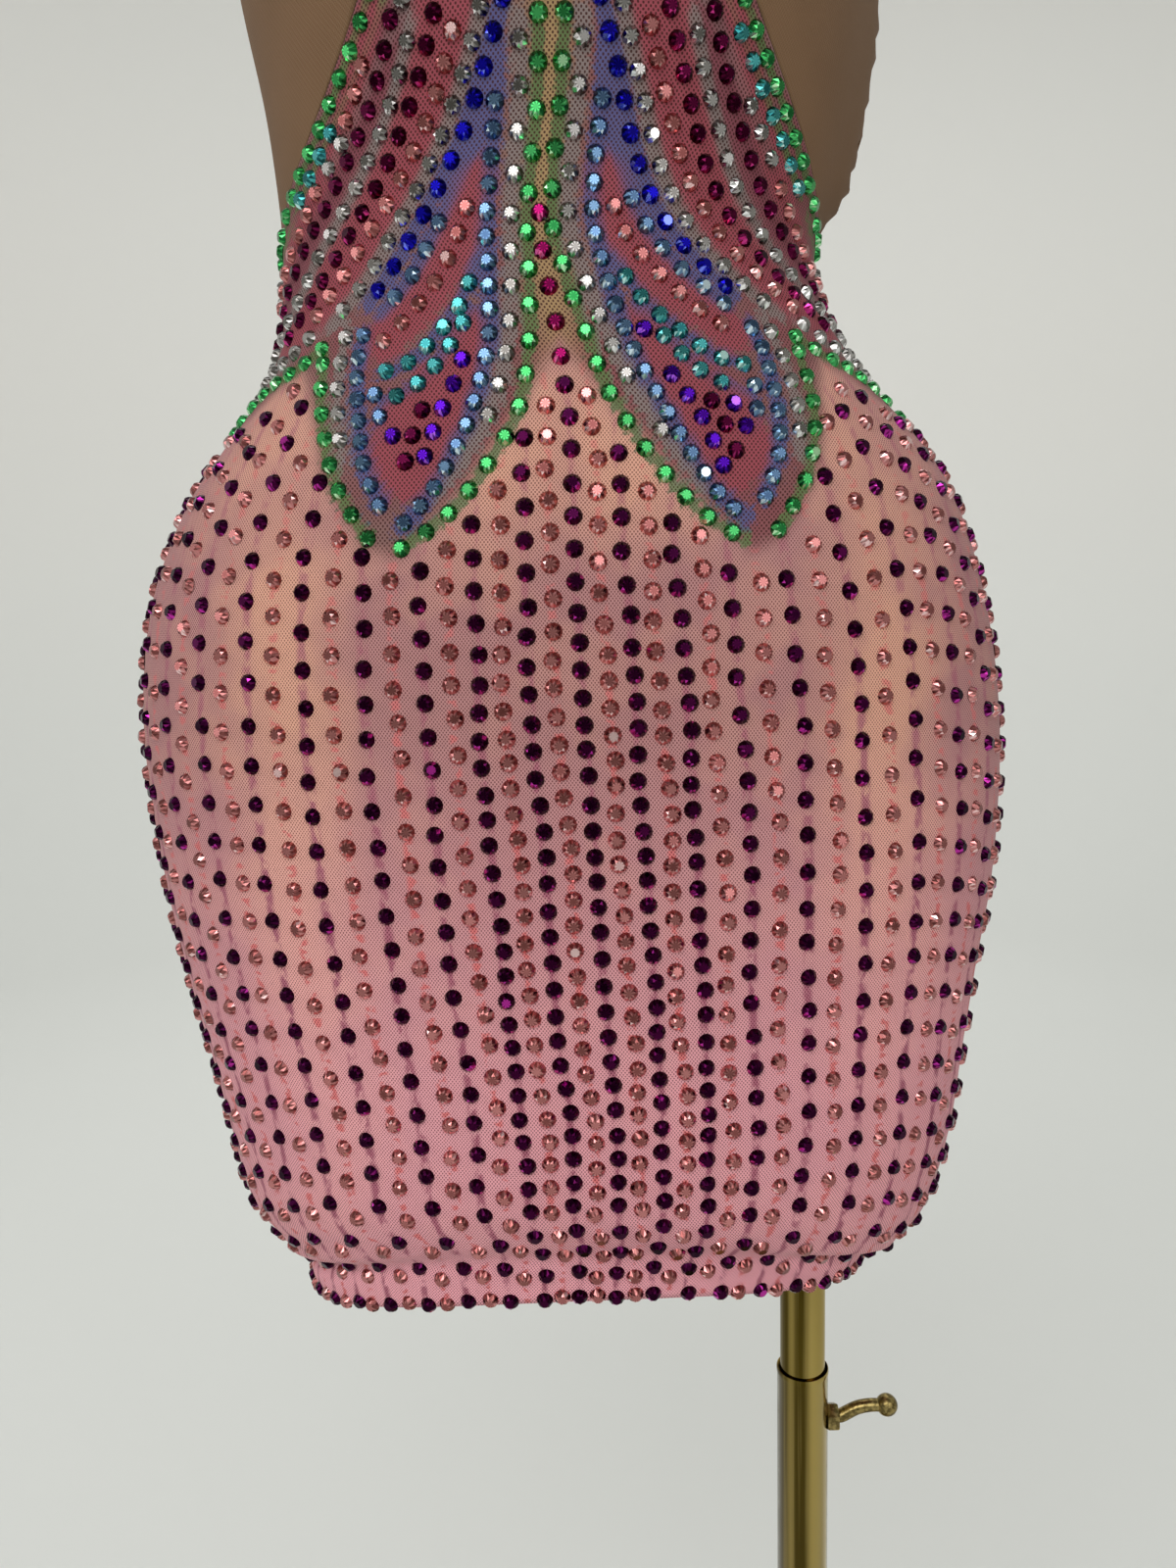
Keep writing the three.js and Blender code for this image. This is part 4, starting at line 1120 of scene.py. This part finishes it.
def form_paint():
    p = Paint("form_cover", Roughness=0.7)
    p.set(p.shader, {"Sheen Weight": 0.15, "Specular IOR Level": 0.3})
    where = p.node("TexCoord", out="Object")
    cloudy = p.noise(where, 9.0, 3.0)
    rib = p.node("TexVoronoi", dict(feature="F1"), {"Vector": where, "Scale": 700.0, "Randomness": 0.4})
    ground = p.blend(p.ramp(cloudy, 0.35, 0.65), (0.55, 0.36, 0.235), (0.62, 0.41, 0.28))
    ground = p.blend(p.times(rib, 0.25), ground, (0.36, 0.22, 0.14))
    p.colour(ground)
    p.bump(rib, 0.2, 0.0004)
    return p.material


def brass_paint(worn=False):
    """Polished brass with painted reflections of the room in broad dark and light stripes, and fine streaks
    that are partly drawn lines and partly painted reflection; or the duller and stained finish of the clamp.
    """
    p = Paint("brass_worn" if worn else "brass", Metallic=1.0, Roughness=0.16)
    where = p.node("TexCoord", out="Object")
    # Fine streaks up the tube: partly drawn lines, partly painted reflection.
    streaks = p.noise(p.stretched(where, (300.0, 300.0, 4.0)), 1.0, 3.0, 0.6)
    # Painted reflection: broad dark and light stripes up the tube stand in for the room reflected in the
    # polished metal.
    reflection_bands = p.noise(p.stretched(where, (95.0, 95.0, 0.6)), 1.0, 1.0, 0.4)
    smears = p.noise(where, 42.0, 3.0, 0.6)
    ground = p.blend(p.ramp(reflection_bands, 0.40, 0.62), (0.075, 0.051, 0.007), (0.43, 0.320, 0.096))
    ground = p.blend(p.times(p.ramp(streaks, 0.45, 0.68), 0.4), ground, (0.40, 0.30, 0.10))
    if worn:
        stains = p.noise(where, 420.0, 3.0, 0.7)
        ground = p.blend(p.ramp(stains, 0.38, 0.60, 0.0, 0.75), (0.36, 0.275, 0.105), (0.060, 0.042, 0.014))
    p.colour(ground)
    p.set(p.shader, {"Roughness": p.ramp(smears, 0.3, 0.7, *((0.22, 0.36) if worn else (0.08, 0.22)))})
    return p.material


# The colours between which each facet's painted reflection runs, dark to middle, and on to the glint colour,
# a painted highlight.
STONE_LOOKS = {  # dark, middle and glint colours, all linear
    "purple": ((0.014, 0.001, 0.010), (0.052, 0.003, 0.033), (0.60, 0.040, 0.42)),
    "plum": ((0.020, 0.001, 0.008), (0.085, 0.004, 0.030), (0.66, 0.05, 0.28)),
    "rose": ((0.23, 0.070, 0.066), (0.64, 0.250, 0.245), (1.0, 0.70, 0.70)),
    "green": ((0.015, 0.135, 0.035), (0.075, 0.46, 0.135), (0.60, 1.0, 0.60)),
    "sapphire": ((0.040, 0.075, 0.145), (0.155, 0.27, 0.43), (0.74, 0.90, 1.0)),
    "crystal": ((0.12, 0.11, 0.10), (0.46, 0.44, 0.43), (1.0, 1.0, 1.0)),
    "cobalt": ((0.003, 0.002, 0.08), (0.010, 0.007, 0.48), (0.20, 0.26, 1.0)),
    "teal": ((0.015, 0.11, 0.12), (0.085, 0.40, 0.40), (0.66, 1.0, 0.96)),
    "violet": ((0.016, 0.001, 0.06), (0.070, 0.006, 0.38), (0.55, 0.16, 1.0)),
    "magenta": ((0.04, 0.001, 0.014), (0.26, 0.006, 0.085), (1.0, 0.16, 0.45)),
}


def stone_paint(name):
    """Foiled glass with painted reflections: each facet's painted reflection runs from dark to a painted
    glint, with faint painted wedges of reflected facets round the rim.
    """
    p = Paint("stone_" + name, Metallic=1.0, Roughness=0.2)
    dark, middle, glint = STONE_LOOKS[name]
    uv = p.uv("stone")
    split = p.node("SeparateXYZ", None, {0: uv}).node
    turn = p.math("ARCTAN2", split.outputs[1], split.outputs[0])
    from_middle = p.node("VectorMath", dict(operation="LENGTH"), {0: uv}, out="Value")
    # Painted reflection: faint wedges round the rim stand in for facets reflected in the foil.
    reflected_wedge = p.times(p.math("SINE", p.times(turn, 8.0)), p.ramp(from_middle, 0.15, 0.45, 0.0, 0.16))
    reflection_tone = p.math("ADD", p.attribute("reflection_tone"), reflected_wedge, clamp=True)
    colour = p.blend(p.ramp(reflection_tone, 0.08, 0.45), dark, middle)
    colour = p.blend(p.ramp(reflection_tone, 0.60, 0.95), colour, glint)
    p.colour(colour)
    return p.material


PAINTS = {"printed_mesh": printed_mesh_paint(), "nude_mesh": nude_mesh_paint(), "form_cover": form_paint(),
          "brass": brass_paint(), "brass_worn": brass_paint(worn=True), "brass_spun": spun_brass_paint()}


# ---- The pieces ----
def make_stones():
    made = {"front": [], "back": []}
    for colour, places in stones.items():
        in_front = np.abs(wrap(places[:, 0])) <= RIGHT_ANGLE
        paint = stone_paint(colour)
        for part, mask in (("front", in_front), ("back", ~in_front)):
            if not mask.any():
                continue
            name = f"stones_{colour}_{part}"
            mesh = stone_mesh(name, places[mask])
            mesh.materials.append(paint)
            made[part].append(link(name, mesh, "form"))
    return made


# For each cloth: its slot, its flat size in metres and the area of its cut in square metres.
CLOTHS = {
    "front_panel": ("printed_mesh", (0.48, 0.70), 0.232),
    "back_skirt": ("printed_mesh", (0.48, 0.46), 0.196),
    "side_mesh_left": ("nude_mesh", (0.15, 0.37), 0.038),
    "side_mesh_right": ("nude_mesh", (0.15, 0.37), 0.038),
    "back_bodice": ("nude_mesh", (0.36, 0.43), 0.122),
}


def make_cloth(stone_pieces):
    grids = {"front_panel": front_panel(), "back_skirt": back_skirt(), "side_mesh_left": side_mesh(1),
             "side_mesh_right": side_mesh(-1), "back_bodice": back_bodice()}
    for node, (slot_name, flat, area) in CLOTHS.items():
        mesh, angle, row = shell("cloth_" + node, *grids[node])
        uv_from(mesh, unwrapped(angle, row) / 10, height(section(row), angle) / 10)
        if slot_name == "printed_mesh":
            paint(mesh, angle, row)
        mesh.materials.append(PAINTS[slot_name])
        piece = link("cloth_" + node, mesh, "form")
        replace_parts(piece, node)


def ring_faces(count, sides, around=False, top=True):
    """The faces that join rings of points: end to end, or else with a cap below and one on top."""
    faces = []
    for k in range(count if around else count - 1):
        low, high = k * sides, (k + 1) % count * sides
        for i in range(sides):
            j = (i + 1) % sides
            faces.append((low + i, low + j, high + j, high + i))
    if not around:
        faces.append(tuple(range(sides - 1, -1, -1)))
        if top:
            faces.append(tuple(range((count - 1) * sides, count * sides)))
    return faces


SHARP_FROM = math.radians(35)


def closed_rings(name, rings, body, around=True, paint_name="brass"):
    """A closed brass body from rings of points: joined end to end, or capped at both ends."""
    rings = np.asarray(rings, float)
    mesh = mesh_of(name, rings.reshape(-1, 3), ring_faces(*rings.shape[:2], around))
    mesh.set_sharp_from_angle(angle=SHARP_FROM)
    mesh.materials.append(PAINTS[paint_name])
    return link(name, mesh, body)


def turns(sides):
    return np.arange(sides) * 2 * math.pi / sides


def circle(sides):
    return np.cos(turns(sides)), np.sin(turns(sides))


def lathe(name, profile, body, node, sides=64, paint_name="brass"):
    """A body turned about the pole's axis from a closed profile of (radius, height, shift)."""
    c, s = circle(sides)
    rings = [np.stack([r * c + (shift[0] if shift else 0), r * s, z + 0 * c], 1) for r, z, *shift in profile]
    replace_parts(closed_rings(name, rings, body, paint_name=paint_name), node)


# The form's ends, as rings: the row, the shares of its width and depth, and the height if it is a flat ring.
FORM_LOW = [(FORM_LOW_ROW, 0.78, 0.55, 541.0), (FORM_LOW_ROW, 0.96, 0.93, None)]
NECK = HIP_LEVEL + SECTIONS[-1, SIDE_Z]
FORM_TOP = [(LAST, 0.96, 0.96, NECK + 3.4), (LAST, 0.88, 0.88, NECK + 5.6), (LAST, 0.55, 0.55, NECK + 9)]


def make_form():
    sides = 96
    angle = turns(sides)
    rows = np.arange(FORM_LOW_ROW, LAST + 0.01, 0.34)
    rows[-1] = LAST
    rings = []
    for row, wide, deep, flat in FORM_LOW + [(row, 1, 1, None) for row in rows] + FORM_TOP:
        p = skin(angle, row) - normal(angle, row) * FORM_INSET
        middle = FORM_X + section(row)[SHIFT]
        z = p[:, 2] if flat is None else np.full(sides, flat)
        rings.append(np.stack([mix(middle, p[:, 0], wide), p[:, 1] * deep, z], 1))
    mesh = mesh_of("form_body", np.concatenate(rings), ring_faces(len(rings), sides))
    mesh.materials.append(PAINTS["form_cover"])
    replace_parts(link("form_body", mesh, "form"), "dress_form")


def ring_profile(inner, outer, low, high, r):
    """The profile of a tube or ring whose outer edges are rounded by r."""
    return [(inner, low), (outer - r, low), (outer, low + r), (outer, high - r),
            (outer - 0.3 * r, high - 0.3 * r), (outer - r, high), (inner, high)]


# Profiles as (radius, height), and for the sleeve's uneven rim also how far it is shifted along X.
FOOT, SLEEVE_TOP = 10.3, 458.0
SLEEVE = [(11.5, FOOT), (12.5, FOOT), (12.5, SLEEVE_TOP - 3.4), (12.75, SLEEVE_TOP - 2.6),
          (12.85, SLEEVE_TOP - 1.0), (12.65, SLEEVE_TOP - 0.1), (12.3, SLEEVE_TOP, 0.15),
          (11.9, SLEEVE_TOP - 0.5, 0.45), (11.7, SLEEVE_TOP - 4, 0.2), (11.5, SLEEVE_TOP - 9)]
HUB = [(12.8, FOOT), (32, FOOT), (32.3, 11.2), (32, 12.9), (31.2, 13.4), (26, 15.2), (24.2, 17.3), (23.4, 22),
       (20, 33), (19, 36.5), (17.6, 38.6), (16, 40.3), (12.8, 40.3)]
BASE = [(4, 0), (173.6, 0), (174.6, 0.4), (175, 1.2), (175, 7), (174.5, 8.4), (173.4, 9.4), (172, 10),
        (168, 10), (4, 10)]


def make_pole():
    lathe("mast_tube", ring_profile(9.5, 11, 158, 610.7, 0.4), "mast", "mast")
    lathe("sleeve_tube", SLEEVE, "stand", "sleeve")
    lathe("socket_ring", ring_profile(11.5, 19, 536.7, 540.7, 0.8), "form", "form_socket")
    lathe("hub_collar", HUB, "stand", "base_hub", paint_name="brass_spun")
    lathe("base_disc", BASE, "stand", "base_plate", 128, "brass_spun")


CLAMP_HEIGHT = 430.0
# The nut's rings: radius, place along the screw, and whether the ring has six sides.
NUT = [(3.4, 11.9, 0), (6.4, 11.9, 1), (6.8, 12.4, 1), (6.8, 17.0, 1), (6.3, 17.7, 1), (3.4, 17.7, 0)]
# The screw and its lever: (place along the screw, rise, radius), then the ball's centre and radius.
LEVER = np.array([(11.3, 0, 2.3), (12, 0, 3), (15, 0, 3), (18, 0.05, 3), (18.6, 0.15, 3.25), (20.5, 0.9, 3.3),
                  (23, 2.3, 3.3), (27.5, 4.5, 3.25), (33, 5.6, 3.2), (37.6, 5.7, 3.1)])
BALL = (42.3, 5.6, 5.4)


def make_nut():
    c, s = circle(48)
    step = math.radians(60)
    six_sided = math.cos(step / 2) / np.cos(turns(48) % step - step / 2)
    rings = []
    for r, x, edged in NUT[::-1]:
        reach = r * mix(1, six_sided, edged)
        rings.append(np.stack([x + 0 * c, reach * s, CLAMP_HEIGHT + reach * c], 1))
    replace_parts(closed_rings("clamp_nut_hex", rings, "stand", paint_name="brass_worn"), "clamp_nut")


def make_lever():
    """Rings square to the lever's bent line, and plain ones from its last millimetres through the ball."""
    x, z, radius = BALL
    shank = along(LEVER, np.linspace(0, len(LEVER) - 1, 46))[:-1]
    join = -math.sqrt(radius**2 - LEVER[-1, 2] ** 2)
    offs = radius * np.sin(np.linspace(math.asin(join / radius), RIGHT_ANGLE, 18))
    ball = [(x + d, z, math.sqrt(max(0.04, radius**2 - d * d))) for d in offs]
    stations = np.concatenate([shank, ball])
    slope = np.gradient(stations[:, 1]) / np.maximum(1e-6, np.gradient(stations[:, 0]))
    slope[stations[:, 0] > LEVER[-1, 0] - 2] = 0
    c, s = circle(24)
    rings = [np.stack([x - r * c * math.sin(t), r * s, CLAMP_HEIGHT + z + r * c * math.cos(t)], 1)
             for (x, z, r), t in zip(stations[::-1], np.arctan(slope)[::-1])]
    lever = closed_rings("clamp_lever", rings, "clamp", around=False, paint_name="brass_worn")
    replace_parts(lever, "clamp_screw")


make_form()
make_cloth(make_stones())
make_pole()
make_nut()
make_lever()


# ---- Floor, backdrop and light ----
FLOOR = dict(flat=2.6, bend=1.6, reach=4.2, top=7.0)  # in metres from the form's axis, and the wall's height
FLOOR_TONES = ((0.73, 0.74, 0.715), (0.80, 0.785, 0.755), (0.79, 0.80, 0.775))


def backdrop():
    """A pale floor that turns up all round into a low wall, with the part in its middle."""
    sides, bend = 96, FLOOR["bend"]
    quarter = np.linspace(0, RIGHT_ANGLE, 14)
    curve = [(FLOOR["flat"] + bend * math.sin(t), bend * (1 - math.cos(t))) for t in quarter]
    curve = [(0.01, 0), *curve, (FLOOR["reach"], FLOOR["top"])]
    c, s = circle(sides)
    rings = [np.stack([FORM_X + r * c / MM, r * s / MM, z / MM + 0 * c], 1) for r, z in curve]
    mesh = mesh_of("floor", np.concatenate(rings), ring_faces(len(curve), sides, top=False))
    p = Paint("pale_floor", Roughness=0.9)
    p.set(p.shader, {"Specular IOR Level": 0.1})
    where = p.node("TexCoord", out="Object")
    up = p.node("SeparateXYZ", None, {0: where}).node.outputs[2]
    floor, wall, cloud = FLOOR_TONES
    p.colour(p.blend(p.times(p.noise(where, 0.8), 0.5), p.blend(p.ramp(up, 0.0, 1.6), floor, wall), cloud))
    mesh.materials.append(p.material)
    thing = bpy.data.objects.new("floor", mesh)
    scene.collection.objects.link(thing)


def light(name, place, towards, size, power):
    data = bpy.data.lights.new(name, "AREA")
    data.shape, data.size, data.size_y, data.energy = "RECTANGLE", size[0], size[1], power
    thing = bpy.data.objects.new(name, data)
    scene.collection.objects.link(thing)
    back = unit(np.subtract(place, towards))
    right = unit(np.cross([0, 0, 1.0], back))
    turn = Matrix([list(r) for r in np.stack([right, np.cross(back, right), back], 1)])
    thing.matrix_world = Matrix.Translation(place) @ turn.to_4x4()


backdrop()
TARGET = (-0.107, 0, 0.8)
LIGHTS = {  # place, what it points at, size and power
    "key": ((-0.6, -1.9, 2.2), TARGET, (1.8, 1.2), 28),
    "fill": ((0.9, -1.8, 1.5), TARGET, (1.4, 1.4), 9.2),
    "left": ((-2.1, -0.3, 1.5), TARGET, (1.0, 1.6), 8),
    "back": ((0.2, 1.5, 2.6), (-0.1, 2.8, 0.2), (2.4, 1.0), 18),
    "wall": ((-0.4, 1.0, 2.9), (-0.5, 4.1, 1.7), (3.0, 0.8), 20),
}
for name, lamp in LIGHTS.items():
    light(name, *lamp)
world = bpy.data.worlds.new("world")
scene.world = world
world.use_nodes = True
sky = world.node_tree.nodes["Background"].inputs
sky["Color"].default_value = (0.80, 0.83, 0.82, 1)
sky["Strength"].default_value = 0.62

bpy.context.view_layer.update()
